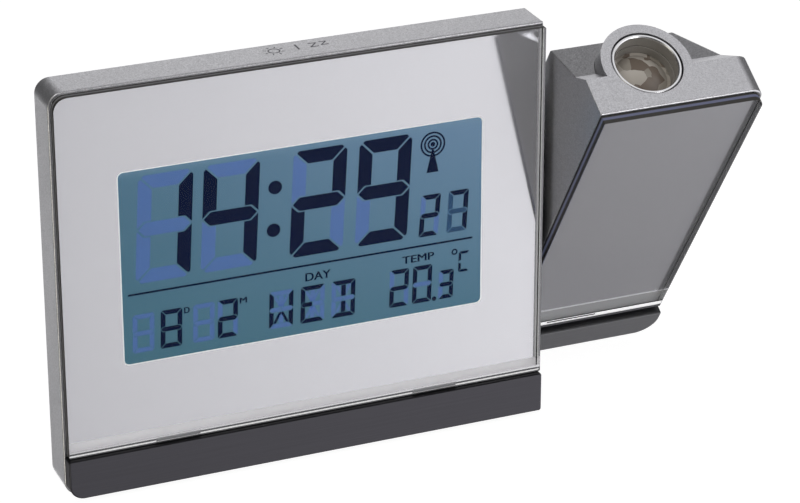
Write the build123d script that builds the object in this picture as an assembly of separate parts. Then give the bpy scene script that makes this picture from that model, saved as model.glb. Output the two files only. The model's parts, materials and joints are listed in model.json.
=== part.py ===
from build123d import *
import os
from math import atan2, cos, degrees, radians, sin, sqrt

# Projection alarm clock: an upright clock with a projector head that turns on a hollow shaft in its right
# side. X runs to the right, Y from the front to the back and Z up, in millimetres. The pieces are worked out
# with the main housing's left side at X = 0, its front edge at Y = 0 and its underside at Z = 0, and the head
# upright. At the end the head is tilted, and everything is moved so that the origin is under the middle of
# the whole clock.

# Outer form
MAIN_WIDTH = 115.0
HEAD_WIDTH = 40.5
HEAD_GAP = 0.9
HEIGHT = 95.9
SLAB_DEPTH = 9.7
STEP_DEPTH = 3.6
STEP_DROP = 3.9
HUMP_DEPTH = 11.7
HUMP_DROP = 5.6
WALL = 1.8
CORNER = 3.4
HUMP_CORNER = 0.8
INNER_CORNER = 0.3
EDGE_ROUND = 0.35
HEAD_BAR_CORNER = 5.5

# Lens plates and base bars
PLATE_THICK = 2.35
PLATE_RECESS = 0.3
PLATE_MARGIN = 0.7
PLATE_INNER_MARGIN = 0.3
PLATE_RIM_GAP = 0.2
PLATE_EDGE_ROUND = 0.25
PLATE_FOOT = 10.2
PLATE_BEVEL = 1.1
BAR_TOP = 10.0
BAR_FOOT = 0.4
BAR_PROUD = 1.25
BAR_ROUND = 0.4
BAR_LAP = 0.5
HEAD_FOOT = 0.5
HEAD_BAR_TOP = 8.9
HEAD_LEDGE = 1.3
LIP_DEPTH = 1.1
LIP_THICK = 0.9

# Hinge of the head
HEAD_TILT = 33.3
PIVOT_Y = 6.34
PIVOT_BELOW_TOP = 53.0
SHAFT_R = 3.4
SHAFT_BORE_R = 2.1
BUSH_R = 4.3
RUNNING = 0.05
FIT_GAP = 0.1
BOSS_LENGTH = 5.0
BOSS_HALF = 7.5
WASHER_THICK = 0.8
CLIP_THICK = 0.7
CLIP_R = 4.4
CLIP_GROOVE = 0.5
THRUST_R = 5.6
SHAFT_PLATE_THICK = 1.5
SHAFT_PLATE_HALF = 10.0

# Display
WINDOW_LEFT_MARGIN = 14.4
WINDOW_RIGHT_MARGIN = 15.5
WINDOW_FOOT = 30.8
WINDOW_TOP_MARGIN = 20.1
GLASS_MARGIN = 2.4
GLASS_THICK = 2.4
GLASS_SETBACK = 0.2
HOLDER_DEPTH = 5.2
HOLDER_RIM = 1.7
GUIDE_THICK = 2.5
GUIDE_LEDGE = 1.5
FILM_THICK = 0.3
STACK_GAP = 0.05
ELASTOMER_THICK = 1.1
LED_WIDTH = 1.4
LED_HEIGHT = 3.0
LED_COUNT = 3

# Boards and what is on them
BOARD_THICK = 1.6
BOARD_SIDE = 4.0
BOARD_BELOW = 6.0
BOARD_NOTCH_HALF = 8.5
BOARD_BOSS_R = 2.2
CHIP_R = 6.0
CHIP_HEIGHT = 1.4
CRYSTAL_R = 1.1
CRYSTAL_LENGTH = 6.0
CAPACITOR_R = 2.5
CAPACITOR_LENGTH = 8.0
TOUCH_WIDTH = 23.0
TOUCH_TAIL = 2.0
TOUCH_THICK = 0.4
ANTENNA_R = 4.0
ANTENNA_LENGTH = 56.0
COIL_R = 5.4
COIL_LENGTH = 20.0
RADIO_BOARD_LIFT = 1.6
RADIO_BOARD_WIDTH = 18.0
RADIO_BOARD_TALL = 12.0
RADIO_BOARD_THICK = 1.0
RADIO_CHIP = 4.0
RADIO_CHIP_THICK = 1.2
PIN_PITCH = 2.54
PIN_R = 0.4
BUZZER_R = 8.5
BUZZER_THICK = 3.0
BUZZER_GAP = 1.5
SOUND_HOLE_R = 0.9

# Buttons
BUTTON_LEFT = 30.0
BUTTON_PITCH = 11.0
BUTTON_DROP = 29.9
BUTTON_WIDTH = 7.6
BUTTON_HEIGHT = 4.8
BUTTON_CLEARANCE = 0.2
BUTTON_PROUD = 0.9
BUTTON_TRAVEL = 0.6
BUTTON_FLANGE = 0.9
BUTTON_FLANGE_THICK = 1.0
BUTTON_STEM = 0.8
BUTTON_BOARD_THICK = 1.4
BUTTON_BOARD_HALF = 6.5
TACT_SIZE = 6.0
TACT_HEIGHT = 2.4
PLUNGER_R = 1.6
KNOB_TRAVEL = 3.0
KNOB_GROOVE = 0.5
KNOB_GROOVE_PITCH = 1.4

# Power
CELL_R = 5.25
CELL_LENGTH = 43.7
NUB_R = 1.9
NUB_LENGTH = 0.8
CELL_PITCH = 11.2
CELL_GAP = 0.35
BAY_LEFT = 22.0
BAY_BOTTOM = 14.0
BAY_WALL = 1.2
SPRING_ROOM = 3.0
CONTACT_THICK = 0.4
CONTACT_HALF = 4.0
SPRING_WIRE_R = 0.25
SPRING_FOOT_R = 3.4
SPRING_TIP_R = 2.0
SPRING_TURNS = 3
DOOR_THICK = 1.5
DOOR_LAP = 0.9
DOOR_TONGUE = 1.0
DOOR_CLEARANCE = 0.15
DOOR_LEFT = 11.4
DOOR_TRAVEL = 8.0
GRIP_COUNT = 5
GRIP_INSET = 4.0
GRIP_PITCH = 1.6
GRIP_WIDTH = 0.7
GRIP_DEPTH = 0.4
GRIP_HALF = 6.0
SOCKET_INSET = 25.0
SOCKET_Z = 20.0
SOCKET_SIDE = 9.0
SOCKET_LENGTH = 10.0
SOCKET_BORE_R = 2.8
SOCKET_PIN_R = 0.65

# Screws and feet
SCREW_R = 1.3
SCREW_HEAD_R = 2.4
SCREW_HEAD_THICK = 1.6
SCREW_LENGTH = 8.0
SMALL_SCREW_R = 0.9
SMALL_HEAD_R = 1.8
SMALL_HEAD_THICK = 1.1
SMALL_LENGTH = 4.0
SLOT_WIDTH = 0.6
BOSS_R = 2.8
WELL_WALL = 1.0
SEAT_Y = 14.4
SEAT_THICK = 1.6
SCREW_INSET = 14.0
UPPER_SCREW_LEFT = 20.0
UPPER_SCREW_RIGHT_INSET = 18.0
SCREW_FOOT = 8.0
SCREW_DROP = 12.6
FOOT_R = 3.2
FOOT_THICK = 1.2
FOOT_PROUD = 0.8
FOOT_INSET = 12.0
REAR_FOOT_Y = 18.5

# Projector
LENS_X = 15.84
LENS_Y = 11.56
EAR_R = 10.65
EAR_BORE_R = 8.35
EAR_DEPTH = 11.9
EAR_LIP = 0.6
RING_R = 8.1
RING_BORE_R = 7.32
RING_SINK = 0.2
RING_TRACK = 2.4
CARRIER_WALL = 1.05
CARRIER_SINK = 2.6
CARRIER_LENGTH = 12.0
LENS_EDGE = 1.4
LENS_CROWN = 2.0
LENS_SEAT = 3.4
FOCUS_TRAVEL = 0.8
TUBE_R = 9.2
TUBE_WALL = 1.6
TUBE_LENGTH = 30.5
PARTITION = 16.5
PARTITION_THICK = 1.0
SLIDE_SIZE = 10.0
SLIDE_THICK = 1.6
SLIDE_WINDOW = 7.6
CONDENSER_THICK = 1.2
CONDENSER_CROWN = 3.0
LAMP_R = 2.5
LAMP_HEIGHT = 4.2
LAMP_BOARD_THICK = 1.6
LAMP_BOARD_SIDE = 17.0
LUG_X = 27.8
FLIP_Z = 34.0
HEAD_SCREW_Z = 20.0
HEAD_SCREW_LEFT = 8.0
HEAD_SCREW_RIGHT = 24.0

# Lead through the shaft
LEAD_R = 0.6
LEAD_BEND = 3.6
LEAD_RISE = 13.8
LEAD_RUN = 3.95
CONNECTOR_WIDTH = 6.0
LEAD_HALF_GAP = 0.15

# Places that follow from the sizes
PIVOT_Z = HEIGHT - PIVOT_BELOW_TOP
BUTTON_ROW = HEIGHT - BUTTON_DROP
HEAD_LEFT = MAIN_WIDTH + HEAD_GAP
HEAD_RIGHT = HEAD_LEFT + HEAD_WIDTH
STEP_Y = SLAB_DEPTH + STEP_DEPTH
BACK_Y = STEP_Y + HUMP_DEPTH
INNER_BACK = BACK_Y - WALL
PLATE_FRONT = PLATE_RECESS - PLATE_THICK
BAR_FRONT = PLATE_FRONT - BAR_PROUD
FRONT_INNER = WALL
GLASS_Y = PLATE_RECESS + GLASS_SETBACK
GLASS_BACK = GLASS_Y + GLASS_THICK
GLASS_X = (WINDOW_LEFT_MARGIN - GLASS_MARGIN, MAIN_WIDTH - WINDOW_RIGHT_MARGIN + GLASS_MARGIN)
GLASS_Z = (WINDOW_FOOT - GLASS_MARGIN, HEIGHT - WINDOW_TOP_MARGIN + GLASS_MARGIN)
HOLDER_X = (GLASS_X[0] - HOLDER_RIM, GLASS_X[1] + HOLDER_RIM)
HOLDER_Z = (GLASS_Z[0] - HOLDER_RIM, GLASS_Z[1] + HOLDER_RIM)
BOARD_Y = FRONT_INNER + HOLDER_DEPTH
BOARD_BACK = BOARD_Y + BOARD_THICK
BOARD_X = (BOARD_SIDE, MAIN_WIDTH - WALL - BOARD_SIDE - FIT_GAP)
BOARD_Z = (GLASS_Z[0] - BOARD_BELOW, HOLDER_Z[1] + FIT_GAP)
BOARD_SCREW_X = (BOARD_X[0] + BOARD_BOSS_R + 0.6, BOARD_X[1] - BOARD_BOSS_R - 0.6)
BOARD_SCREW_Z = (BOARD_Z[0] + BOARD_BOSS_R + 0.4, BOARD_Z[1] - BOARD_BOSS_R - 0.4)
GUIDE_X = (GLASS_X[0] + GUIDE_LEDGE, GLASS_X[1] - GUIDE_LEDGE)
GUIDE_Z = (GLASS_Z[0] + GUIDE_LEDGE + ELASTOMER_THICK, GLASS_Z[1] - GUIDE_LEDGE - ELASTOMER_THICK)
GUIDE_Y = GLASS_BACK + FILM_THICK + 2 * STACK_GAP
BOARD_RIGHT_NOTCH = HOLDER_X[1] - 1.2
BUTTON_TOP_Y = BACK_Y + BUTTON_PROUD
STEM_END = INNER_BACK - BUTTON_CLEARANCE - BUTTON_FLANGE_THICK - BUTTON_STEM
BUTTON_BOARD_Y = STEM_END - BUTTON_TRAVEL - FIT_GAP - TACT_HEIGHT - BUTTON_BOARD_THICK
BUTTONS = ("mode", "alarm", "up", "down", "radio")
BUTTON_X = [BUTTON_LEFT + i * BUTTON_PITCH for i in range(len(BUTTONS))]
KNOB_X = BUTTON_X[-1] + BUTTON_PITCH
BUTTON_REACH = BUTTON_WIDTH / 2 + BUTTON_FLANGE + 2 * BOARD_BOSS_R + 2 * FIT_GAP
KNOB_REACH = KNOB_TRAVEL + BUTTON_HEIGHT / 2 + 2 * BOARD_BOSS_R + 2 * FIT_GAP
BUTTON_BOARD_X = (BUTTON_X[0] - BUTTON_REACH, KNOB_X + KNOB_REACH)
TOUCH_X = ((MAIN_WIDTH - TOUCH_WIDTH) / 2, (MAIN_WIDTH + TOUCH_WIDTH) / 2)
TOUCH_TAIL_X = ((MAIN_WIDTH - TOUCH_TAIL) / 2, (MAIN_WIDTH + TOUCH_TAIL) / 2)
ANTENNA_X = ((MAIN_WIDTH - ANTENNA_LENGTH) / 2, (MAIN_WIDTH + ANTENNA_LENGTH) / 2)
SOCKET_X = MAIN_WIDTH - SOCKET_INSET
LIP_Y = SLAB_DEPTH - LIP_DEPTH - FIT_GAP
BAY_X = (BAY_LEFT, BAY_LEFT + CELL_LENGTH + NUB_LENGTH + SPRING_ROOM + CONTACT_THICK)
BAY_Z = (BAY_BOTTOM, BAY_BOTTOM + CELL_PITCH + 2 * (CELL_R + CELL_GAP))
BAY_FLOOR = INNER_BACK - 2 * (CELL_R + CELL_GAP)
CELL_Y = BAY_FLOOR + CELL_R + CELL_GAP
CELL_Z = [BAY_Z[0] + CELL_GAP + CELL_R, BAY_Z[1] - CELL_GAP - CELL_R]
DOOR_Y = BACK_Y - DOOR_THICK
DOOR_RIGHT = BAY_X[1] + DOOR_LAP
DOOR_Z = (BAY_Z[0] - DOOR_LAP, BAY_Z[1] + DOOR_LAP)
BUZZER_X = DOOR_RIGHT + BUZZER_GAP + BUZZER_R
BUZZER_Z = BUTTON_ROW - BUTTON_BOARD_HALF - BUZZER_GAP - BUZZER_R
HEAD_FRONT_Z = (HEAD_FOOT, HEIGHT)
AXIS_X = HEAD_LEFT + LENS_X
CARRIER_R = RING_BORE_R - RUNNING
EAR_FOOT = HEIGHT - EAR_DEPTH
RING_TOP = HEIGHT - RING_SINK
CARRIER_TOP = HEIGHT - CARRIER_SINK - FOCUS_TRAVEL
CARRIER_Z = (CARRIER_TOP - CARRIER_LENGTH, CARRIER_TOP)
TUBE_Z = (EAR_FOOT - TUBE_LENGTH, EAR_FOOT)
PARTITION_Z = TUBE_Z[0] + PARTITION
MAIN_SCREWS = (
    (SCREW_INSET, SCREW_FOOT), (MAIN_WIDTH - SCREW_INSET, SCREW_FOOT),
    (UPPER_SCREW_LEFT, HEIGHT - SCREW_DROP),
    (MAIN_WIDTH - UPPER_SCREW_RIGHT_INSET, HEIGHT - SCREW_DROP))
HEAD_SCREWS = ((HEAD_LEFT + HEAD_SCREW_LEFT, HEAD_SCREW_Z), (HEAD_LEFT + HEAD_SCREW_RIGHT, HEAD_SCREW_Z))
FEET = [(x, y) for x in (FOOT_INSET, MAIN_WIDTH - FOOT_INSET) for y in (SLAB_DEPTH / 2, REAR_FOOT_Y)]

main_nodes = {}
head_nodes = {}


# ---------------------------------------------------------------- helpers


def block(x, y, z):
    """Box between the low and high values of x, y and z."""
    middle = [(low + high) / 2 for low, high in (x, y, z)]
    return Pos(*middle) * Box(x[1] - x[0], y[1] - y[0], z[1] - z[0])


def rod_x(x, y, z, radius):
    """Cylinder along X between the two values of x."""
    return Pos((x[0] + x[1]) / 2, y, z) * Rot(0, 90, 0) * Cylinder(radius, x[1] - x[0])


def rod_y(x, y, z, radius):
    """Cylinder along Y between the two values of y."""
    return Pos(x, (y[0] + y[1]) / 2, z) * Rot(90, 0, 0) * Cylinder(radius, y[1] - y[0])


def rod_z(x, y, z, radius):
    """Cylinder along Z between the two values of z."""
    return Pos(x, y, (z[0] + z[1]) / 2) * Cylinder(radius, z[1] - z[0])


def outline(x, z, y, radii):
    """Upright face at depth y, with a radius per corner: bottom left, bottom right, top right, top left."""
    corners = ((x[0], z[0]), (x[1], z[0]), (x[1], z[1]), (x[0], z[1]))
    arrive = ((0, 1), (-1, 0), (0, -1), (1, 0))
    leave = ((1, 0), (0, 1), (-1, 0), (0, -1))
    bow = 1 - 1 / sqrt(2)
    arcs = []
    for (cx, cz), (ax, az), (lx, lz), r in zip(corners, arrive, leave, radii):
        start = (cx + ax * r, y, cz + az * r)
        middle = (cx + (ax + lx) * r * bow, y, cz + (az + lz) * r * bow)
        end = (cx + lx * r, y, cz + lz * r)
        arcs.append((start, middle, end))
    edges = []
    for i, (start, middle, end) in enumerate(arcs):
        edges.append(ThreePointArc(start, middle, end))
        edges.append(Line(end, arcs[(i + 1) % len(arcs)][0]))
    return Face(Wire(edges))


def panel(x, z, y, radii):
    """Upright slab between the two depths of y."""
    return extrude(outline(x, z, y[0], radii), amount=y[1] - y[0], dir=(0, 1, 0))


def front_edges(solid, depth):
    """Edges that lie wholly in the upright plane at this depth."""
    def lies_there(edge):
        box = edge.bounding_box()
        return abs(box.min.Y - depth) < 1e-3 and abs(box.max.Y - depth) < 1e-3
    return solid.edges().filter_by(lies_there)


def screw(length, shank_r, head_r, head_thick):
    """Pan-head screw along +Z with its seat at Z = 0, its shank below and a cross slot in its head."""
    body = rod_z(0, 0, (-length, 0), shank_r) + rod_z(0, 0, (0, head_thick), head_r)
    body = chamfer(body.edges().filter_by(GeomType.CIRCLE).sort_by(Axis.Z)[0], shank_r / 2)
    body = fillet(body.edges().filter_by(GeomType.CIRCLE).sort_by(Axis.Z)[-1], head_thick / 3)
    for turn in (0, 90):
        body -= Pos(0, 0, head_thick) * Rot(0, 0, turn) * Box(head_r * 1.2, SLOT_WIDTH, head_thick)
    return body


def rear_screw(x, y, z, small=False):
    """Screw driven from the back, with its seat at depth y."""
    if small:
        piece = screw(SMALL_LENGTH, SMALL_SCREW_R, SMALL_HEAD_R, SMALL_HEAD_THICK)
    else:
        piece = screw(SCREW_LENGTH, SCREW_R, SCREW_HEAD_R, SCREW_HEAD_THICK)
    return Pos(x, y, z) * Rot(-90, 0, 0) * piece


def cap(x, z, top, flange):
    """Push button: a rounded cap through the back wall, its flange inside the wall and its stem."""
    half_w = BUTTON_WIDTH / 2
    half_h = BUTTON_HEIGHT / 2
    flange_back = INNER_BACK - BUTTON_CLEARANCE
    flange_front = flange_back - BUTTON_FLANGE_THICK
    face = block((x - half_w, x + half_w), (flange_front, top), (z - half_h, z + half_h))
    face = fillet(face.edges().filter_by(Axis.Y), half_h * 0.6)
    face = fillet(front_edges(face, top), EDGE_ROUND)
    wide = (x - half_w - flange, x + half_w + flange)
    tall = (z - half_h - flange, z + half_h + flange)
    stem = rod_y(x, (STEM_END, flange_front), z, PLUNGER_R)
    return face + block(wide, (flange_front, flange_back), tall) + stem


def tact(x, z):
    """Tact switch on the button board, with its round plunger."""
    half = TACT_SIZE / 2
    base_y = BUTTON_BOARD_Y + BUTTON_BOARD_THICK
    case_top = base_y + TACT_HEIGHT * 0.75
    case = block((x - half, x + half), (base_y, case_top), (z - half, z + half))
    return case + rod_y(x, (case_top, base_y + TACT_HEIGHT), z, PLUNGER_R)


def dome(radius, crown):
    """Cap of a ball that stands on Z = 0 with this radius and height."""
    ball_r = (radius ** 2 + crown ** 2) / (2 * crown)
    return rod_z(0, 0, (0, crown), radius) & (Pos(0, 0, crown - ball_r) * Sphere(ball_r))


def lens(radius, aperture, edge, crown):
    """Lens with a flat rim of this height, domed by the same amount on both faces inside its aperture."""
    upper = Pos(0, 0, edge / 2) * dome(aperture, crown)
    rim = rod_z(0, 0, (-edge / 2, edge / 2), radius)
    return rim + upper + Rot(180, 0, 0) * upper


# ---------------------------------------------------------------- housings


def rear_step(x, z, radii, sides):
    """Rear form behind the slab: a 45 degree step and a sloped hump. sides says which sides slope:
    left, right, bottom and top, each 1 or 0."""
    left, right, bottom, top = sides
    small = [HUMP_CORNER if r > INNER_CORNER else INNER_CORNER for r in radii]
    step_x = (x[0] + left * STEP_DROP, x[1] - right * STEP_DROP)
    step_z = (z[0] + bottom * STEP_DROP, z[1] - top * STEP_DROP)
    back_x = (step_x[0] + left * HUMP_DROP, step_x[1] - right * HUMP_DROP)
    back_z = (step_z[0] + bottom * HUMP_DROP, step_z[1] - top * HUMP_DROP)
    step = loft([outline(x, z, SLAB_DEPTH, radii), outline(step_x, step_z, STEP_Y, small)])
    hump = loft([outline(step_x, step_z, STEP_Y, small), outline(back_x, back_z, BACK_Y, small)])
    return step + hump


def rear_hollow(x, z, radii, sides):
    """Room inside the rear form, a wall's thickness in from every side and from the back."""
    left, right, bottom, top = sides
    inner_x = (x[0] + WALL, x[1] - WALL)
    inner_z = (z[0] + WALL, z[1] - WALL)
    small = [HUMP_CORNER] * 4
    drop = STEP_DROP + WALL / 4
    step_x = (inner_x[0] + left * drop, inner_x[1] - right * drop)
    step_z = (inner_z[0] + bottom * drop, inner_z[1] - top * drop)
    slope = HUMP_DROP * (INNER_BACK - STEP_Y) / HUMP_DEPTH
    back_x = (step_x[0] + left * slope, step_x[1] - right * slope)
    back_z = (step_z[0] + bottom * slope, step_z[1] - top * slope)
    step = loft([outline(inner_x, inner_z, SLAB_DEPTH, small), outline(step_x, step_z, STEP_Y, small)])
    hump = loft([outline(step_x, step_z, STEP_Y, small), outline(back_x, back_z, INNER_BACK, small)])
    return step + hump


def slab_shell(x, z, radii, plate_x, plate_z):
    """Front housing: a shallow tray with a rounded front edge and a recess for the lens plate in its face."""
    solid = panel(x, z, (0, SLAB_DEPTH), radii)
    solid = fillet(front_edges(solid, 0), EDGE_ROUND)
    inner_x = (x[0] + WALL, x[1] - WALL)
    inner_z = (z[0] + WALL, z[1] - WALL)
    solid -= panel(inner_x, inner_z, (FRONT_INNER, SLAB_DEPTH), [HUMP_CORNER] * 4)
    recess_x = (plate_x[0] - PLATE_RIM_GAP, plate_x[1] + PLATE_RIM_GAP / 2)
    recess_z = (plate_z[0] - PLATE_RIM_GAP, plate_z[1] + PLATE_RIM_GAP)
    recess_radii = [max(r - PLATE_MARGIN, INNER_CORNER) for r in radii]
    return solid - panel(recess_x, recess_z, (0, PLATE_RECESS), recess_radii)


def seat_lip(x, z):
    """Thin tongue on the rear housing that locates it inside the front housing's walls."""
    inner_x = (x[0] + WALL + FIT_GAP, x[1] - WALL - FIT_GAP)
    inner_z = (z[0] + WALL + FIT_GAP, z[1] - WALL - FIT_GAP)
    lip_x = (inner_x[0] + LIP_THICK, inner_x[1] - LIP_THICK)
    lip_z = (inner_z[0] + LIP_THICK, inner_z[1] - LIP_THICK)
    depth = (SLAB_DEPTH - LIP_DEPTH, SLAB_DEPTH + WALL / 2)
    ring = panel(inner_x, inner_z, depth, [HUMP_CORNER] * 4)
    return ring - panel(lip_x, lip_z, depth, [HUMP_CORNER] * 4)


def screw_well(x, z):
    """Tube from the screw seat to the back of the rear housing, and the cuts through it."""
    well_r = SCREW_HEAD_R + RUNNING * 4
    tube = rod_y(x, (SEAT_Y - SEAT_THICK, INNER_BACK), z, well_r + WELL_WALL)
    cuts = rod_y(x, (SEAT_Y, BACK_Y + WALL), z, well_r)
    cuts += rod_y(x, (SEAT_Y - SEAT_THICK, SEAT_Y), z, SCREW_R + FIT_GAP)
    return tube, cuts


def front_boss(x, z, end, radius, pilot):
    """Boss on the front wall, up to depth end, with a blind hole for a screw."""
    boss = rod_y(x, (FRONT_INNER, end), z, radius)
    return boss, rod_y(x, (FRONT_INNER + FIT_GAP, end), z, pilot + RUNNING)


def main_front_housing():
    x, z = (0, MAIN_WIDTH), (0, HEIGHT)
    radii = (CORNER, INNER_CORNER, INNER_CORNER, CORNER)
    plate_x = (PLATE_MARGIN, MAIN_WIDTH - PLATE_INNER_MARGIN)
    shell = slab_shell(x, z, radii, plate_x, (BAR_FOOT, HEIGHT - PLATE_MARGIN))
    hole_x = (GLASS_X[0] - FIT_GAP, GLASS_X[1] + FIT_GAP)
    hole_z = (GLASS_Z[0] - FIT_GAP, GLASS_Z[1] + FIT_GAP)
    shell -= block(hole_x, (0, FRONT_INNER), hole_z)
    cuts = []
    for sx, sz in MAIN_SCREWS:
        boss, pilot = front_boss(sx, sz, SEAT_Y - SEAT_THICK, BOSS_R, SCREW_R)
        shell += boss
        cuts.append(pilot)
    for sx in BOARD_SCREW_X:
        for sz in BOARD_SCREW_Z:
            boss, pilot = front_boss(sx, sz, BOARD_Y, BOARD_BOSS_R, SMALL_SCREW_R)
            shell += boss
            cuts.append(pilot)
    boss_x = (MAIN_WIDTH - BOSS_LENGTH, MAIN_WIDTH - WALL)
    shell += block(boss_x, (FRONT_INNER, SLAB_DEPTH), (PIVOT_Z - BOSS_HALF, PIVOT_Z + BOSS_HALF))
    for cut in cuts:
        shell -= cut
    shell -= hinge_cut()
    for fx, fy in FEET[::2]:
        shell -= rod_z(fx, fy, (0, FOOT_THICK - FOOT_PROUD), FOOT_R + RUNNING)
    return shell


def hinge_cut():
    """Stepped hole for the bush and the shaft through the right side of the main housing."""
    seat = rod_x((MAIN_WIDTH - BOSS_LENGTH, MAIN_WIDTH - WALL), PIVOT_Y, PIVOT_Z, BUSH_R + RUNNING)
    return seat + rod_x((MAIN_WIDTH - WALL, MAIN_WIDTH), PIVOT_Y, PIVOT_Z, SHAFT_R + 2 * FIT_GAP)


def main_rear_housing():
    x, z = (0, MAIN_WIDTH), (0, HEIGHT)
    radii = (CORNER, INNER_CORNER, INNER_CORNER, CORNER)
    sides = (1, 0, 0, 1)
    shell = rear_step(x, z, radii, sides) - rear_hollow(x, z, radii, sides)
    lip = seat_lip(x, z)
    lip -= block((MAIN_WIDTH - BOSS_LENGTH, MAIN_WIDTH), (0, SLAB_DEPTH),
                 (PIVOT_Z - BOSS_HALF - FIT_GAP, PIVOT_Z + BOSS_HALF + FIT_GAP))
    lip -= block((TOUCH_TAIL_X[0] - FIT_GAP, TOUCH_TAIL_X[1] + FIT_GAP), (0, SLAB_DEPTH + WALL),
                 (HEIGHT / 2, HEIGHT))
    shell += lip
    bay = block((BAY_X[0] - BAY_WALL, BAY_X[1] + BAY_WALL), (BAY_FLOOR - BAY_WALL, INNER_BACK),
                (BAY_Z[0] - BAY_WALL, BAY_Z[1] + BAY_WALL))
    shelf = block((DOOR_LEFT - DOOR_TRAVEL / 2, BAY_X[0]), (DOOR_Y - BAY_WALL, INNER_BACK),
                  (DOOR_Z[0] - 2 * DOOR_TONGUE, DOOR_Z[1] + 2 * DOOR_TONGUE))
    rail = block((DOOR_LEFT, DOOR_RIGHT + BAY_WALL), (DOOR_Y - BAY_WALL, INNER_BACK),
                 (DOOR_Z[0] - 2 * DOOR_TONGUE, DOOR_Z[1] + 2 * DOOR_TONGUE))
    shell += bay + shelf + rail
    boss_x = (MAIN_WIDTH - BOSS_LENGTH, MAIN_WIDTH - WALL)
    shell += block(boss_x, (SLAB_DEPTH, STEP_Y), (PIVOT_Z - BOSS_HALF, PIVOT_Z + BOSS_HALF))
    cuts = []
    for sx, sz in MAIN_SCREWS:
        tube, cut = screw_well(sx, sz)
        shell += tube
        cuts.append(cut)
    for px in button_posts():
        shell += rod_y(px, (BUTTON_BOARD_Y + BUTTON_BOARD_THICK, INNER_BACK), BUTTON_ROW, BOARD_BOSS_R)
        pilot_y = (BUTTON_BOARD_Y + BUTTON_BOARD_THICK, INNER_BACK - FIT_GAP)
        cuts.append(rod_y(px, pilot_y, BUTTON_ROW, SMALL_SCREW_R + RUNNING))
    for rib_x in antenna_ribs():
        rib = block(rib_x, (antenna_y() - ANTENNA_R / 2, INNER_BACK), (antenna_z() - ANTENNA_R - 1,
                    antenna_z() + ANTENNA_R + 1))
        shell += rib
    cuts.append(rod_x(ANTENNA_X, antenna_y(), antenna_z(), ANTENNA_R + FIT_GAP))
    half = SOCKET_SIDE / 2
    socket_y = (INNER_BACK - SOCKET_LENGTH, INNER_BACK)
    for low, high in ((SOCKET_X - half - BAY_WALL - FIT_GAP, SOCKET_X - half - FIT_GAP),
                      (SOCKET_X + half + FIT_GAP, SOCKET_X + half + BAY_WALL + FIT_GAP)):
        shell += block((low, high), socket_y, (SOCKET_Z - half, SOCKET_Z + half))
    cuts.append(rod_y(SOCKET_X, (INNER_BACK, BACK_Y), SOCKET_Z, SOCKET_BORE_R + 1.2))
    cuts.append(block(BAY_X, (BAY_FLOOR, DOOR_Y), BAY_Z))
    cuts.append(block((0, DOOR_RIGHT + DOOR_CLEARANCE), (DOOR_Y - FIT_GAP, BACK_Y),
                      (DOOR_Z[0] - DOOR_CLEARANCE, DOOR_Z[1] + DOOR_CLEARANCE)))
    groove = DOOR_TONGUE + DOOR_CLEARANCE
    cuts.append(block((0, DOOR_RIGHT + DOOR_CLEARANCE), (DOOR_Y - FIT_GAP, DOOR_Y + DOOR_THICK / 2 + FIT_GAP),
                      (DOOR_Z[0] - groove, DOOR_Z[1] + groove)))
    cuts += [button_hole(bx, BUTTON_ROW) for bx in BUTTON_X]
    knob_half = (KNOB_TRAVEL + BUTTON_HEIGHT) / 2 + BUTTON_CLEARANCE
    cuts.append(block((KNOB_X - knob_half, KNOB_X + knob_half), (INNER_BACK, BACK_Y),
                      (BUTTON_ROW - BUTTON_HEIGHT / 4 - FIT_GAP, BUTTON_ROW + BUTTON_HEIGHT / 4 + FIT_GAP)))
    cuts.append(rod_y(BUZZER_X, (INNER_BACK, BACK_Y), BUZZER_Z, SOUND_HOLE_R))
    for i in range(6):
        turn = radians(60 * i)
        cuts.append(rod_y(BUZZER_X + BUZZER_R / 2 * cos(turn), (INNER_BACK, BACK_Y),
                          BUZZER_Z + BUZZER_R / 2 * sin(turn), SOUND_HOLE_R))
    cuts.append(hinge_cut())
    for fx, fy in FEET[1::2]:
        cuts.append(rod_z(fx, fy, (0, FOOT_THICK - FOOT_PROUD), FOOT_R + RUNNING))
    for cut in cuts:
        shell -= cut
    return shell


def button_hole(x, z):
    """Rounded hole through the back wall for a button."""
    half_w = BUTTON_WIDTH / 2 + BUTTON_CLEARANCE
    half_h = BUTTON_HEIGHT / 2 + BUTTON_CLEARANCE
    hole = block((x - half_w, x + half_w), (INNER_BACK, BACK_Y), (z - half_h, z + half_h))
    return fillet(hole.edges().filter_by(Axis.Y), half_h * 0.6)


def antenna_y():
    """Depth of the antenna rod: inside the hump, behind the main board."""
    return STEP_Y + ANTENNA_R / 2


def antenna_z():
    """Height of the antenna rod: just under the sloped roof of the hump."""
    return HEIGHT - WALL - STEP_DROP - COIL_R - 3.6


def antenna_ribs():
    """The two ribs that cradle the antenna rod, as their low and high X."""
    rib = BAY_WALL * 1.5
    return ((ANTENNA_X[0] + rib, ANTENNA_X[0] + 2 * rib), (ANTENNA_X[1] - 2 * rib, ANTENNA_X[1] - rib))


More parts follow.
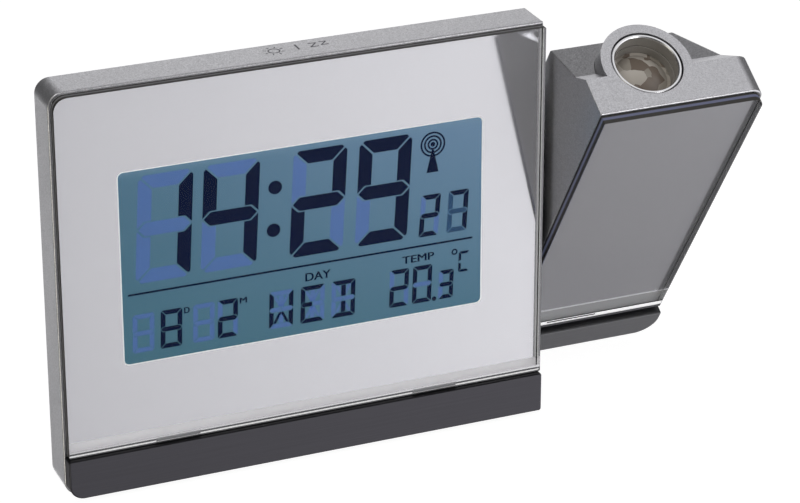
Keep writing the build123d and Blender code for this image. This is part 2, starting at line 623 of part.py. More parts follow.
def head_front_housing():
    x, z = (HEAD_LEFT, HEAD_RIGHT), HEAD_FRONT_Z
    radii = (INNER_CORNER, HEAD_BAR_CORNER, CORNER, INNER_CORNER)
    plate_x = (HEAD_LEFT + PLATE_INNER_MARGIN, HEAD_RIGHT - PLATE_MARGIN)
    shell = slab_shell(x, z, radii, plate_x, (HEAD_FOOT + BAR_FOOT, HEIGHT - PLATE_MARGIN))
    shell += rod_z(AXIS_X, LENS_Y, (EAR_FOOT, HEIGHT), EAR_R)
    cuts = [rod_z(AXIS_X, LENS_Y, (EAR_FOOT + EAR_LIP, HEIGHT), EAR_BORE_R)]
    cuts.append(rod_z(AXIS_X, LENS_Y, (EAR_FOOT, EAR_FOOT + EAR_LIP), CARRIER_R + 2 * FIT_GAP))
    for sx, sz in HEAD_SCREWS:
        boss, pilot = front_boss(sx, sz, SEAT_Y - SEAT_THICK, BOSS_R, SCREW_R)
        shell += boss
        cuts.append(pilot)
    for sz in lug_heights():
        boss, pilot = front_boss(HEAD_LEFT + LUG_X, sz, lug_y(), BOARD_BOSS_R, SMALL_SCREW_R)
        shell += boss
        cuts.append(pilot)
    pad_x = (HEAD_LEFT + WALL, HEAD_LEFT + WALL + SHAFT_PLATE_THICK)
    shell += block(pad_x, (FRONT_INNER, LIP_Y), (PIVOT_Z - SHAFT_PLATE_HALF, PIVOT_Z + SHAFT_PLATE_HALF))
    cuts.append(rod_x((HEAD_LEFT, pad_x[1]), PIVOT_Y, PIVOT_Z, SHAFT_R + RUNNING))
    for sz in shaft_screw_heights():
        cuts.append(rod_x((HEAD_LEFT + WALL / 4, pad_x[1]), shaft_screw_y(), sz, SMALL_SCREW_R + RUNNING))
    for cut in cuts:
        shell -= cut
    return shell


def head_rear_housing():
    x, z = (HEAD_LEFT, HEAD_RIGHT), HEAD_FRONT_Z
    radii = (INNER_CORNER, HEAD_BAR_CORNER, CORNER, INNER_CORNER)
    sides = (0, 1, 1, 1)
    shell = rear_step(x, z, radii, sides) - rear_hollow(x, z, radii, sides)
    cuts = [rod_z(AXIS_X, LENS_Y, (EAR_FOOT - FIT_GAP, HEIGHT), EAR_R + FIT_GAP)]
    cuts.append(rod_x((HEAD_LEFT, HEAD_LEFT + WALL), PIVOT_Y, PIVOT_Z, SHAFT_R + RUNNING))
    for sx, sz in HEAD_SCREWS:
        tube, cut = screw_well(sx, sz)
        shell += tube
        cuts.append(cut)
    for px in flip_posts():
        shell += rod_y(px, (BUTTON_BOARD_Y + BUTTON_BOARD_THICK, INNER_BACK), FLIP_Z, BOARD_BOSS_R)
        pilot_y = (BUTTON_BOARD_Y + BUTTON_BOARD_THICK, INNER_BACK - FIT_GAP)
        cuts.append(rod_y(px, pilot_y, FLIP_Z, SMALL_SCREW_R + RUNNING))
    cuts.append(button_hole(AXIS_X, FLIP_Z))
    for cut in cuts:
        shell -= cut
    return shell


def lug_heights():
    """Heights of the two lugs that hold the projector tube."""
    return (TUBE_Z[0] + 7.0, TUBE_Z[1] - 7.0)


def lug_y():
    """Depth of the bosses' ends, where the projector tube's lugs sit."""
    return LENS_Y - TUBE_R / 2


def flip_posts():
    """X of the two posts that hold the flip button's board."""
    reach = BUTTON_REACH - BOARD_BOSS_R
    return (AXIS_X - reach, AXIS_X + reach)


def shaft_screw_heights():
    """Heights of the two screws that hold the shaft's plate to the head."""
    reach = SHAFT_PLATE_HALF - SMALL_HEAD_R - FIT_GAP
    return (PIVOT_Z - reach, PIVOT_Z + reach)


def shaft_screw_y():
    """Depth of those screws: the middle of the plate."""
    return (FRONT_INNER + LIP_Y) / 2


# ---------------------------------------------------------------- plates and bars


def lens_plate(x, z, radii):
    """Clear moulded plate over the front, with a bevel along its foot and a fine round on its front edges."""
    plate = panel(x, z, (PLATE_FRONT, PLATE_RECESS), radii)
    corner = (PLATE_FRONT, z[0])
    up = (PLATE_FRONT, z[0] + PLATE_BEVEL)
    back = (PLATE_FRONT + PLATE_BEVEL / 2, z[0])
    points = [(x[0], *point) for point in (corner, up, back)]
    wedge = extrude(Face(Wire.make_polygon(points)), amount=x[1] - x[0], dir=(1, 0, 0))
    return plate - wedge


def base_bar(x, z, radii, laps):
    """Bar along the foot of the front, proud of the plate, with rounded front edges. Its back fills the
    recess, and its front laps over the housing's rim at the left and right by the two laps."""
    back = panel(x, z, (0, PLATE_RECESS), radii)
    front = panel((x[0] - laps[0], x[1] + laps[1]), z, (BAR_FRONT, 0), radii)
    return fillet(front_edges(front, BAR_FRONT), BAR_ROUND) + back


def add_fronts():
    plate_r = CORNER - PLATE_MARGIN / 2
    main_x = (PLATE_MARGIN, MAIN_WIDTH - PLATE_INNER_MARGIN)
    head_x = (HEAD_LEFT + PLATE_INNER_MARGIN, HEAD_RIGHT - PLATE_MARGIN)
    plate_z = (PLATE_FOOT, HEIGHT - PLATE_MARGIN)
    small = PLATE_EDGE_ROUND
    main_nodes["main_lens_plate"] = lens_plate(main_x, plate_z, (small, small, small, plate_r))
    head_nodes["head_lens_plate"] = lens_plate(head_x, plate_z, (small, small, plate_r, small))
    main_radii = (CORNER, INNER_CORNER * 2, INNER_CORNER * 2, INNER_CORNER * 2)
    main_nodes["main_base_bar"] = base_bar(main_x, (BAR_FOOT, BAR_TOP), main_radii, (BAR_LAP, 0))
    head_radii = (INNER_CORNER * 2, HEAD_BAR_CORNER, INNER_CORNER * 2, INNER_CORNER * 2)
    head_bar = base_bar(head_x, (HEAD_FOOT + BAR_FOOT, HEAD_BAR_TOP), head_radii, (0, BAR_LAP))
    ledge_z = (HEAD_BAR_TOP - BAR_ROUND, PLATE_FOOT - FIT_GAP)
    ledge = block(head_x, (PLATE_FRONT + HEAD_LEDGE, PLATE_RECESS), ledge_z)
    ledge += block((head_x[0], head_x[1] + BAR_LAP), (PLATE_FRONT + HEAD_LEDGE, 0), ledge_z)
    head_nodes["head_base_bar"] = head_bar + ledge


# ---------------------------------------------------------------- display


def add_display():
    glass = block(GLASS_X, (GLASS_Y, GLASS_BACK), GLASS_Z)
    main_nodes["display_glass"] = glass
    holder = block(HOLDER_X, (FRONT_INNER, BOARD_Y), HOLDER_Z)
    pocket_x = (GLASS_X[0] - FIT_GAP, GLASS_X[1] + FIT_GAP)
    pocket_z = (GLASS_Z[0] - FIT_GAP, GLASS_Z[1] + FIT_GAP)
    holder -= block(pocket_x, (FRONT_INNER, GLASS_BACK), pocket_z)
    room_x = (GUIDE_X[0] - FIT_GAP, GUIDE_X[1] + FIT_GAP)
    room_z = (GUIDE_Z[0] - FIT_GAP, GUIDE_Z[1] + FIT_GAP)
    holder -= block(room_x, (GLASS_BACK, BOARD_Y), room_z)
    strips = []
    strip_x = (GUIDE_X[0] + 2 * GUIDE_LEDGE, GUIDE_X[1] - 2 * GUIDE_LEDGE)
    for low in (GLASS_Z[0] + FIT_GAP * 3, GLASS_Z[1] - FIT_GAP * 3 - ELASTOMER_THICK):
        strip_z = (low, low + ELASTOMER_THICK)
        slot_z = (low - FIT_GAP, strip_z[1] + FIT_GAP)
        holder -= block((strip_x[0] - FIT_GAP, strip_x[1] + FIT_GAP), (GLASS_BACK, BOARD_Y), slot_z)
        strips.append(block(strip_x, (GLASS_BACK, BOARD_Y), strip_z))
    main_nodes["display_holder"] = holder
    main_nodes["elastomer_connectors"] = strips
    guide_x = (GUIDE_X[0], GUIDE_X[1] - LED_WIDTH - FIT_GAP)
    diffuser = block(guide_x, (GLASS_BACK + STACK_GAP, GUIDE_Y - STACK_GAP), GUIDE_Z)
    main_nodes["light_guide"] = block(guide_x, (GUIDE_Y, GUIDE_Y + GUIDE_THICK), GUIDE_Z)
    film_y = GUIDE_Y + GUIDE_THICK + STACK_GAP
    main_nodes["backlight_films"] = [diffuser, block(guide_x, (film_y, film_y + FILM_THICK), GUIDE_Z)]
    tall = GUIDE_Z[1] - GUIDE_Z[0]
    lamps = []
    for i in range(LED_COUNT):
        middle = GUIDE_Z[0] + tall * (i + 0.5) / LED_COUNT
        lamps.append(block((GUIDE_X[1] - LED_WIDTH, GUIDE_X[1]), (GUIDE_Y + FILM_THICK, BOARD_Y),
                           (middle - LED_HEIGHT / 2, middle + LED_HEIGHT / 2)))
    main_nodes["backlight_leds"] = lamps


# ---------------------------------------------------------------- boards


def add_main_board():
    board = block(BOARD_X, (BOARD_Y, BOARD_BACK), BOARD_Z)
    board -= block((BOARD_RIGHT_NOTCH, BOARD_X[1]), (BOARD_Y, BOARD_BACK),
                   (PIVOT_Z - BOARD_NOTCH_HALF, PIVOT_Z + BOARD_NOTCH_HALF))
    screws = []
    for sx in BOARD_SCREW_X:
        for sz in BOARD_SCREW_Z:
            board -= rod_y(sx, (BOARD_Y, BOARD_BACK), sz, SMALL_SCREW_R + FIT_GAP)
            screws.append(rear_screw(sx, BOARD_BACK, sz, small=True))
    main_nodes["main_board"] = board
    screws += [front_screw(px, BUTTON_BOARD_Y, BUTTON_ROW) for px in button_posts()]
    main_nodes["board_screws"] = screws
    chip_x, chip_z = (BOARD_X[0] + BOARD_X[1]) / 2, (BOARD_Z[0] + BOARD_Z[1]) / 2
    blob = Pos(chip_x, BOARD_BACK, chip_z) * Rot(-90, 0, 0) * dome(CHIP_R, CHIP_HEIGHT)
    crystal_x = chip_x + CHIP_R + 3 * CRYSTAL_R
    crystal = rod_z(crystal_x, BOARD_BACK + CRYSTAL_R, (chip_z, chip_z + CRYSTAL_LENGTH), CRYSTAL_R)
    cans = []
    for i in range(2):
        can_x = chip_x - CHIP_R - (2 * i + 1.8) * CAPACITOR_R * 1.1
        cans.append(rod_z(can_x, BOARD_BACK + CAPACITOR_R, (chip_z, chip_z + CAPACITOR_LENGTH), CAPACITOR_R))
    main_nodes["board_components"] = [blob, crystal, *cans]


def add_sensors():
    roof = HEIGHT - WALL
    pad = block(TOUCH_X, (FRONT_INNER + FIT_GAP * 4, LIP_Y), (roof - TOUCH_THICK, roof))
    pad += block(TOUCH_TAIL_X, (LIP_Y, BOARD_BACK + TOUCH_THICK), (roof - TOUCH_THICK, roof))
    tail = block(TOUCH_TAIL_X, (BOARD_BACK, BOARD_BACK + TOUCH_THICK), (BOARD_Z[1] - 3, roof))
    main_nodes["touch_electrode"] = pad + tail
    bead_x, bead_z = BOARD_X[0] + 8.0, PIVOT_Z
    leads = [rod_y(bead_x + side, (BOARD_BACK, BOARD_BACK + 4.6), bead_z, 0.3) for side in (-0.7, 0.7)]
    bead = Pos(bead_x, BOARD_BACK + 5.0, bead_z) * Sphere(1.4)
    main_nodes["temperature_sensor"] = bead + leads[0] + leads[1]
    rod = rod_x(ANTENNA_X, antenna_y(), antenna_z(), ANTENNA_R)
    middle = MAIN_WIDTH / 2
    coil_x = (middle - COIL_LENGTH / 2, middle + COIL_LENGTH / 2)
    coil = rod_x(coil_x, antenna_y(), antenna_z(), COIL_R)
    coil -= rod_x(coil_x, antenna_y(), antenna_z(), ANTENNA_R + RUNNING)
    main_nodes["radio_antenna"] = [rod, coil]
    board_x = (BUTTON_X[-1], BUTTON_X[-1] + RADIO_BOARD_WIDTH)
    board_top = BUTTON_ROW - BUTTON_BOARD_HALF
    lift = BOARD_BACK + RADIO_BOARD_LIFT
    face = lift + RADIO_BOARD_THICK
    radio = block(board_x, (lift, face), (board_top - RADIO_BOARD_TALL, board_top))
    chip_x = (board_x[1] - 2 * RADIO_CHIP, board_x[1] - RADIO_CHIP)
    chip_z = (board_top - 2 * RADIO_CHIP, board_top - RADIO_CHIP)
    radio += block(chip_x, (face, face + RADIO_CHIP_THICK), chip_z)
    for i in range(4):
        pin_x = board_x[0] + (i + 1) * PIN_PITCH
        radio += rod_y(pin_x, (BOARD_BACK, lift), board_top - PIN_PITCH, PIN_R)
    main_nodes["radio_board"] = radio
    buzzer = rod_y(BUZZER_X, (INNER_BACK - BUZZER_THICK, INNER_BACK), BUZZER_Z, BUZZER_R)
    port = rod_y(BUZZER_X, (INNER_BACK - BUZZER_THICK / 2, INNER_BACK), BUZZER_Z, BUZZER_R * 0.7)
    main_nodes["buzzer"] = buzzer - port


def add_buttons():
    for name, bx in zip(BUTTONS, BUTTON_X):
        main_nodes[name + "_button"] = cap(bx, BUTTON_ROW, BUTTON_TOP_Y, BUTTON_FLANGE)
    board_y = (BUTTON_BOARD_Y, BUTTON_BOARD_Y + BUTTON_BOARD_THICK)
    board = block(BUTTON_BOARD_X, board_y, (BUTTON_ROW - BUTTON_BOARD_HALF, BUTTON_ROW + BUTTON_BOARD_HALF))
    for px in button_posts():
        board -= rod_y(px, board_y, BUTTON_ROW, SMALL_SCREW_R + FIT_GAP)
    main_nodes["button_board"] = board
    main_nodes["tact_switches"] = [tact(bx, BUTTON_ROW) for bx in BUTTON_X]
    knob_half = BUTTON_HEIGHT / 2
    case_y = (board_y[1], board_y[1] + TACT_HEIGHT)
    case_x = (KNOB_X - KNOB_TRAVEL - knob_half, KNOB_X + KNOB_TRAVEL + knob_half)
    main_nodes["projection_switch"] = block(case_x, case_y, (BUTTON_ROW - 3, BUTTON_ROW + 3))
    start = KNOB_X - KNOB_TRAVEL / 2
    knob = block((start - knob_half, start + knob_half), (case_y[1] + FIT_GAP, BACK_Y + BUTTON_PROUD / 2),
                 (BUTTON_ROW - BUTTON_HEIGHT / 4, BUTTON_ROW + BUTTON_HEIGHT / 4))
    for i in (-1, 0, 1):
        middle = start + i * KNOB_GROOVE_PITCH
        knob -= block((middle - KNOB_GROOVE / 2, middle + KNOB_GROOVE / 2),
                      (BACK_Y + BUTTON_PROUD / 4, BUTTON_TOP_Y),
                      (BUTTON_ROW - BUTTON_HEIGHT, BUTTON_ROW + BUTTON_HEIGHT))
    main_nodes["projection_knob"] = knob


def button_posts():
    """X of the two posts that hold the button board."""
    return (BUTTON_BOARD_X[0] + BOARD_BOSS_R, BUTTON_BOARD_X[1] - BOARD_BOSS_R)


def front_screw(x, y, z):
    """Small screw driven from the front, with its seat at depth y."""
    return Pos(x, y, z) * Rot(90, 0, 0) * screw(SMALL_LENGTH, SMALL_SCREW_R, SMALL_HEAD_R, SMALL_HEAD_THICK)


# ---------------------------------------------------------------- power


def add_power():
    cells, springs, plates = [], [], []
    spring_wall = BAY_X[0] + CONTACT_THICK
    for i, cz in enumerate(CELL_Z):
        start = BAY_X[0] + SPRING_ROOM
        cell = rod_x((start, start + CELL_LENGTH), CELL_Y, cz, CELL_R)
        cell = fillet(cell.edges().filter_by(GeomType.CIRCLE), 0.5)
        cell += rod_x((start + CELL_LENGTH, start + CELL_LENGTH + NUB_LENGTH), CELL_Y, cz, NUB_R)
        parts = [cell, contact_plate((BAY_X[0], spring_wall), cz), contact_spring(spring_wall, start, cz)]
        flat = contact_plate((BAY_X[1] - CONTACT_THICK, BAY_X[1]), cz)
        if i == 1:
            middle = (BAY_X[0] + BAY_X[1]) / 2
            turned = Pos(2 * middle, 0, 2 * cz) * Rot(0, 180, 0)
            parts = [turned * part for part in parts]
            flat = turned * flat
        cells.append(parts[0])
        springs += parts[1:]
        plates.append(flat)
    main_nodes["cells"] = cells
    main_nodes["battery_contacts"] = springs + plates
    main_nodes["battery_door"] = battery_door()
    half = SOCKET_SIDE / 2
    body = block((SOCKET_X - half, SOCKET_X + half), (INNER_BACK - SOCKET_LENGTH, INNER_BACK),
                 (SOCKET_Z - half, SOCKET_Z + half))
    floor = INNER_BACK - SOCKET_LENGTH + 1.5
    body -= rod_y(SOCKET_X, (floor, INNER_BACK), SOCKET_Z, SOCKET_BORE_R)
    pin = rod_y(SOCKET_X, (floor - 0.5, INNER_BACK - 1), SOCKET_Z, SOCKET_PIN_R)
    main_nodes["power_socket"] = body + pin


def contact_plate(x, cz):
    """Square contact plate, flat against an end wall of the bay."""
    return block(x, (CELL_Y - CONTACT_HALF, CELL_Y + CONTACT_HALF), (cz - CONTACT_HALF, cz + CONTACT_HALF))


def contact_spring(wall, cell_end, cz):
    """Pressed conical spring between its plate and the flat end of the cell, wider at the plate."""
    foot = wall + SPRING_WIRE_R + RUNNING
    height = cell_end - RUNNING - SPRING_WIRE_R - foot
    slope = degrees(atan2(SPRING_FOOT_R - SPRING_TIP_R, height))
    coil = Helix(height / SPRING_TURNS, height, SPRING_FOOT_R, center=(foot, CELL_Y, cz),
                 direction=(1, 0, 0), cone_angle=-slope)
    section = Plane(origin=coil @ 0, z_dir=coil % 0) * Circle(SPRING_WIRE_R)
    return sweep(section, path=coil, is_frenet=True)


def battery_door():
    door = block((DOOR_LEFT, DOOR_RIGHT), (DOOR_Y, BACK_Y), DOOR_Z)
    tongue_z = (DOOR_Z[0] - DOOR_TONGUE, DOOR_Z[1] + DOOR_TONGUE)
    door += block((DOOR_LEFT, DOOR_RIGHT), (DOOR_Y, DOOR_Y + DOOR_THICK / 2), tongue_z)
    middle = (DOOR_Z[0] + DOOR_Z[1]) / 2
    for i in range(GRIP_COUNT):
        grip_x = DOOR_LEFT + GRIP_INSET + i * GRIP_PITCH
        door -= block((grip_x, grip_x + GRIP_WIDTH), (BACK_Y - GRIP_DEPTH, BACK_Y),
                      (middle - GRIP_HALF, middle + GRIP_HALF))
    return door


# ---------------------------------------------------------------- hinge


def add_hinge():
    wall_in = MAIN_WIDTH - WALL
    boss_in = MAIN_WIDTH - BOSS_LENGTH
    bush = rod_x((boss_in, wall_in), PIVOT_Y, PIVOT_Z, BUSH_R)
    main_nodes["hinge_bush"] = bush - rod_x((boss_in, wall_in), PIVOT_Y, PIVOT_Z, SHAFT_R + RUNNING)
    washer_x = (boss_in - WASHER_THICK, boss_in)
    washer = rod_x(washer_x, PIVOT_Y, PIVOT_Z, CLIP_R)
    main_nodes["friction_washer"] = washer - rod_x(washer_x, PIVOT_Y, PIVOT_Z, SHAFT_R + RUNNING)
    clip_x = (washer_x[0] - RUNNING - CLIP_THICK, washer_x[0] - RUNNING)
    clip = rod_x(clip_x, PIVOT_Y, PIVOT_Z, CLIP_R)
    clip -= rod_x(clip_x, PIVOT_Y, PIVOT_Z, SHAFT_R - CLIP_GROOVE)
    slot = SHAFT_R / 3
    clip -= block(clip_x, (PIVOT_Y - slot, PIVOT_Y + slot), (PIVOT_Z - CLIP_R, PIVOT_Z))
    head_nodes["retaining_clip"] = clip
    shaft_in = clip_x[0] - CLIP_THICK
    plate_in = HEAD_LEFT + WALL + SHAFT_PLATE_THICK
    plate_x = (plate_in, plate_in + SHAFT_PLATE_THICK)
    shaft = rod_x((shaft_in, plate_x[1]), PIVOT_Y, PIVOT_Z, SHAFT_R)
    shaft += block(plate_x, (FRONT_INNER + 2 * FIT_GAP, LIP_Y),
                   (PIVOT_Z - SHAFT_PLATE_HALF, PIVOT_Z + SHAFT_PLATE_HALF))
    shaft -= rod_x((shaft_in, plate_x[1]), PIVOT_Y, PIVOT_Z, SHAFT_BORE_R)
    groove_x = (clip_x[0] - RUNNING, clip_x[1] + RUNNING)
    groove = rod_x(groove_x, PIVOT_Y, PIVOT_Z, SHAFT_R)
    groove -= rod_x(groove_x, PIVOT_Y, PIVOT_Z, SHAFT_R - CLIP_GROOVE - RUNNING)
    shaft -= groove
    screws = []
    for sz in shaft_screw_heights():
        shaft -= rod_x(plate_x, shaft_screw_y(), sz, SMALL_SCREW_R + FIT_GAP)
        piece = screw(SMALL_LENGTH, SMALL_SCREW_R, SMALL_HEAD_R, SMALL_HEAD_THICK)
        screws.append(Pos(plate_x[1], shaft_screw_y(), sz) * Rot(0, 90, 0) * piece)
    head_nodes["hinge_shaft"] = shaft
    head_nodes["small_head_screws"] = screws
    thrust_x = (MAIN_WIDTH + RUNNING, HEAD_LEFT - RUNNING)
    thrust = rod_x(thrust_x, PIVOT_Y, PIVOT_Z, THRUST_R)
    main_nodes["thrust_washer"] = thrust - rod_x(thrust_x, PIVOT_Y, PIVOT_Z, SHAFT_R + RUNNING)
    add_lead(shaft_in, plate_x[1])


def add_lead(shaft_in, shaft_out):
    """Lead on the shaft's axis: one length in the clock and one in the head, end to end in the shaft."""
    meet = (MAIN_WIDTH + HEAD_LEFT) / 2
    corner_x = shaft_in - LEAD_BEND - LEAD_R
    entry_x = corner_x - LEAD_BEND - LEAD_RUN
    rise_y = PIVOT_Y + LEAD_RISE - BOARD_THICK * 2
    path = FilletPolyline((meet - LEAD_HALF_GAP, PIVOT_Y, PIVOT_Z), (corner_x, PIVOT_Y, PIVOT_Z),
                          (corner_x, rise_y, PIVOT_Z), (entry_x, rise_y, PIVOT_Z), radius=LEAD_BEND)
    section = Plane(origin=path @ 0, z_dir=path % 0) * Circle(LEAD_R)
    main_nodes["projector_lead_main"] = sweep(section, path=path)
    print("lead bend radius", LEAD_BEND, "lead length", round(path.length, 1))
    top = rise_y + 2 * LEAD_R
    half = CONNECTOR_WIDTH / 2
    main_nodes["lead_connector"] = block((entry_x - CONNECTOR_WIDTH, entry_x), (BOARD_BACK, top),
                                         (PIVOT_Z - half, PIVOT_Z + half))
    rise_x = shaft_out + LEAD_BEND + LEAD_R + 1
    head_path = FilletPolyline((meet + LEAD_HALF_GAP, PIVOT_Y, PIVOT_Z), (rise_x, PIVOT_Y, PIVOT_Z),
                               (rise_x, PIVOT_Y, TUBE_Z[0] - LAMP_BOARD_THICK), radius=LEAD_BEND)
    section = Plane(origin=head_path @ 0, z_dir=head_path % 0) * Circle(LEAD_R)
    head_nodes["projector_lead_head"] = sweep(section, path=head_path)


# ---------------------------------------------------------------- projector


def add_projector():
    ring = rod_z(AXIS_X, LENS_Y, (EAR_FOOT + EAR_LIP + FIT_GAP, RING_TOP), RING_R)
    track = (EAR_FOOT + EAR_LIP + FIT_GAP, EAR_FOOT + EAR_LIP + FIT_GAP + RING_TRACK)
    ring += rod_z(AXIS_X, LENS_Y, track, EAR_BORE_R - RUNNING)
    ring -= rod_z(AXIS_X, LENS_Y, (EAR_FOOT, RING_TOP), RING_BORE_R)
    ring = chamfer(ring.edges().filter_by(GeomType.CIRCLE).group_by(Axis.Z)[-1], 0.2)
    head_nodes["focus_ring"] = ring
    bore = CARRIER_R - CARRIER_WALL
    carrier = rod_z(AXIS_X, LENS_Y, CARRIER_Z, CARRIER_R) - rod_z(AXIS_X, LENS_Y, CARRIER_Z, bore)
    front_z = CARRIER_Z[1] - LENS_SEAT
    lens_r = CARRIER_R - CARRIER_WALL / 3
    carrier -= rod_z(AXIS_X, LENS_Y, (front_z, CARRIER_Z[1]), lens_r + RUNNING)
    inner_seat = CARRIER_Z[0] + LENS_EDGE * 2
    inner_r = bore + CARRIER_WALL / 3
    carrier -= rod_z(AXIS_X, LENS_Y, (CARRIER_Z[0], inner_seat), inner_r + RUNNING)
    head_nodes["lens_carrier"] = carrier
    half = LENS_EDGE / 2
    front = lens(lens_r, bore - FIT_GAP, LENS_EDGE, LENS_CROWN)
    head_nodes["front_lens"] = Pos(AXIS_X, LENS_Y, front_z + half) * front
    inner = lens(inner_r, bore - FIT_GAP, LENS_EDGE, LENS_CROWN / 2)
    head_nodes["inner_lens"] = Pos(AXIS_X, LENS_Y, inner_seat - half) * inner
    tube = rod_z(AXIS_X, LENS_Y, TUBE_Z, TUBE_R)
    tube_bore = TUBE_R - TUBE_WALL
    low_room = (TUBE_Z[0], PARTITION_Z)
    high_room = (PARTITION_Z + PARTITION_THICK, TUBE_Z[1])
    lugs = []
    for sz in lug_heights():
        lug_x = (AXIS_X, HEAD_LEFT + LUG_X + BOARD_BOSS_R)
        lug = block(lug_x, (lug_y(), lug_y() + WALL), (sz - BOARD_BOSS_R, sz + BOARD_BOSS_R))
        tube += lug
        lugs.append(rear_screw(HEAD_LEFT + LUG_X, lug_y() + WALL, sz, small=True))
    tube -= rod_z(AXIS_X, LENS_Y, low_room, tube_bore) + rod_z(AXIS_X, LENS_Y, high_room, tube_bore)
    for sz in lug_heights():
        tube -= rod_y(HEAD_LEFT + LUG_X, (lug_y(), lug_y() + WALL), sz, SMALL_SCREW_R + FIT_GAP)
    half_window = SLIDE_WINDOW / 2
    tube -= block((AXIS_X - half_window, AXIS_X + half_window),
                  (LENS_Y - half_window, LENS_Y + half_window),
                  (PARTITION_Z, PARTITION_Z + PARTITION_THICK))
    head_nodes["projector_tube"] = tube
    head_nodes["small_head_screws"] += lugs
    half_slide = SLIDE_SIZE / 2
    head_nodes["projection_display"] = block(
        (AXIS_X - half_slide, AXIS_X + half_slide), (LENS_Y - half_slide, LENS_Y + half_slide),
        (PARTITION_Z + PARTITION_THICK, PARTITION_Z + PARTITION_THICK + SLIDE_THICK))
    condenser_z = PARTITION_Z - CONDENSER_CROWN - CONDENSER_THICK / 2
    condenser = lens(tube_bore - RUNNING, tube_bore - FIT_GAP, CONDENSER_THICK, CONDENSER_CROWN)
    head_nodes["condenser_lens"] = Pos(AXIS_X, LENS_Y, condenser_z) * condenser
    add_lamp(tube_bore)


def add_lamp(tube_bore):
    """Projector LED on its board, which closes the foot of the tube."""
    foot = TUBE_Z[0]
    head_nodes["projector_led"] = rod_z(AXIS_X, LENS_Y, (foot, foot + LAMP_HEIGHT - LAMP_R), LAMP_R) + (
        Pos(AXIS_X, LENS_Y, foot + LAMP_HEIGHT - LAMP_R) * Sphere(LAMP_R)
        - block((AXIS_X - tube_bore, AXIS_X + tube_bore), (LENS_Y - tube_bore, LENS_Y + tube_bore),
                (foot - LAMP_R, foot)))
    half = LAMP_BOARD_SIDE / 2
    board_z = (foot - LAMP_BOARD_THICK, foot)
    board = block((AXIS_X - half, AXIS_X + half), (LENS_Y - half, LENS_Y + half), board_z)
    head_nodes["led_board"] = board


def add_flip_button():
    head_nodes["flip_button"] = cap(AXIS_X, FLIP_Z, BUTTON_TOP_Y, BUTTON_FLANGE)
    low, high = flip_posts()
    board_x = (low - BOARD_BOSS_R, high + BOARD_BOSS_R)
    board_y = (BUTTON_BOARD_Y, BUTTON_BOARD_Y + BUTTON_BOARD_THICK)
    board = block(board_x, board_y, (FLIP_Z - BUTTON_BOARD_HALF + 2, FLIP_Z + BUTTON_BOARD_HALF - 2))
    for px in (low, high):
        board -= rod_y(px, board_y, FLIP_Z, SMALL_SCREW_R + FIT_GAP)
        head_nodes["small_head_screws"].append(front_screw(px, board_y[0], FLIP_Z))
    head_nodes["flip_board"] = board
    head_nodes["flip_switch"] = tact(AXIS_X, FLIP_Z)


# ---------------------------------------------------------------- fasteners and feet


def add_fasteners():
    main_nodes["housing_screws"] = [rear_screw(sx, SEAT_Y, sz) for sx, sz in MAIN_SCREWS]
    head_nodes["head_screws"] = [rear_screw(sx, SEAT_Y, sz) for sx, sz in HEAD_SCREWS]
    foot_z = (-FOOT_PROUD, FOOT_THICK - FOOT_PROUD)
    main_nodes["rubber_feet"] = [rod_z(fx, fy, foot_z, FOOT_R) for fx, fy in FEET]


# ---------------------------------------------------------------- assembly


main_nodes["main_front_housing"] = main_front_housing()
main_nodes["main_rear_housing"] = main_rear_housing()
head_nodes["head_front_housing"] = head_front_housing()
head_nodes["head_rear_housing"] = head_rear_housing()
add_fronts()
add_display()
add_main_board()
add_sensors()
add_buttons()
add_power()
add_hinge()
add_projector()
add_flip_button()
add_fasteners()


def solids_of(shape):
    """Every solid of a node, whether it is one shape or a list of them."""
    shapes = shape if isinstance(shape, list) else [shape]
    return [solid for piece in shapes for solid in piece.solids()]


tilt = Pos(0, PIVOT_Y, PIVOT_Z) * Rot(HEAD_TILT, 0, 0) * Pos(0, -PIVOT_Y, -PIVOT_Z)
placed = {name: solids_of(shape) for name, shape in main_nodes.items()}
for name, shape in head_nodes.items():
    placed[name] = [tilt * solid for solid in solids_of(shape)]

whole = Compound([solid for solids in placed.values() for solid in solids]).bounding_box()
home = Pos(-(whole.min.X + whole.max.X) / 2, -(whole.min.Y + whole.max.Y) / 2, -whole.min.Z)

os.makedirs("parts", exist_ok=True)
for name, solids in placed.items():
    export_step(Compound([home * solid for solid in solids]), f"parts/{name}.step")

print("size", whole.size)
print("origin moved by", home.position)
print("nodes", len(placed))
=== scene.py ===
import json
from math import cos, pi, radians, sin

import bpy
import numpy as np
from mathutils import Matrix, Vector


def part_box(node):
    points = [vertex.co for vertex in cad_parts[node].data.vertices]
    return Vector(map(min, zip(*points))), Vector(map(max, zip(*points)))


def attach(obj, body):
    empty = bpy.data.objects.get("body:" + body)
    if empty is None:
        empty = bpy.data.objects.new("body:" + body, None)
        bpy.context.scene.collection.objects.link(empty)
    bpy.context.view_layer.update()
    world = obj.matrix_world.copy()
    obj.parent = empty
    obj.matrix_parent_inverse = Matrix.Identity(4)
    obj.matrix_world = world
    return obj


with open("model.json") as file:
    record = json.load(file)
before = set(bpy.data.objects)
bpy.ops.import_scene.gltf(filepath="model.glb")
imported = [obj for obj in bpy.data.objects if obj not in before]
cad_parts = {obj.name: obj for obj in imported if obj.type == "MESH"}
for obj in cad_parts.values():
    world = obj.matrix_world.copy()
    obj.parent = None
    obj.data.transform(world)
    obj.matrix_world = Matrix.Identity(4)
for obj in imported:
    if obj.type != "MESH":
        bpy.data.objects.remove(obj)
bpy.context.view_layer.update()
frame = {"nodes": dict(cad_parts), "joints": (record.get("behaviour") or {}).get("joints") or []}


# ---------------------------------------------------------------- camera
# The clock stands a little below the eye and is seen from its left, through a long lens. The camera is
# shifted slightly so that its line of sight stays on the clock's front while the whole head is in view.

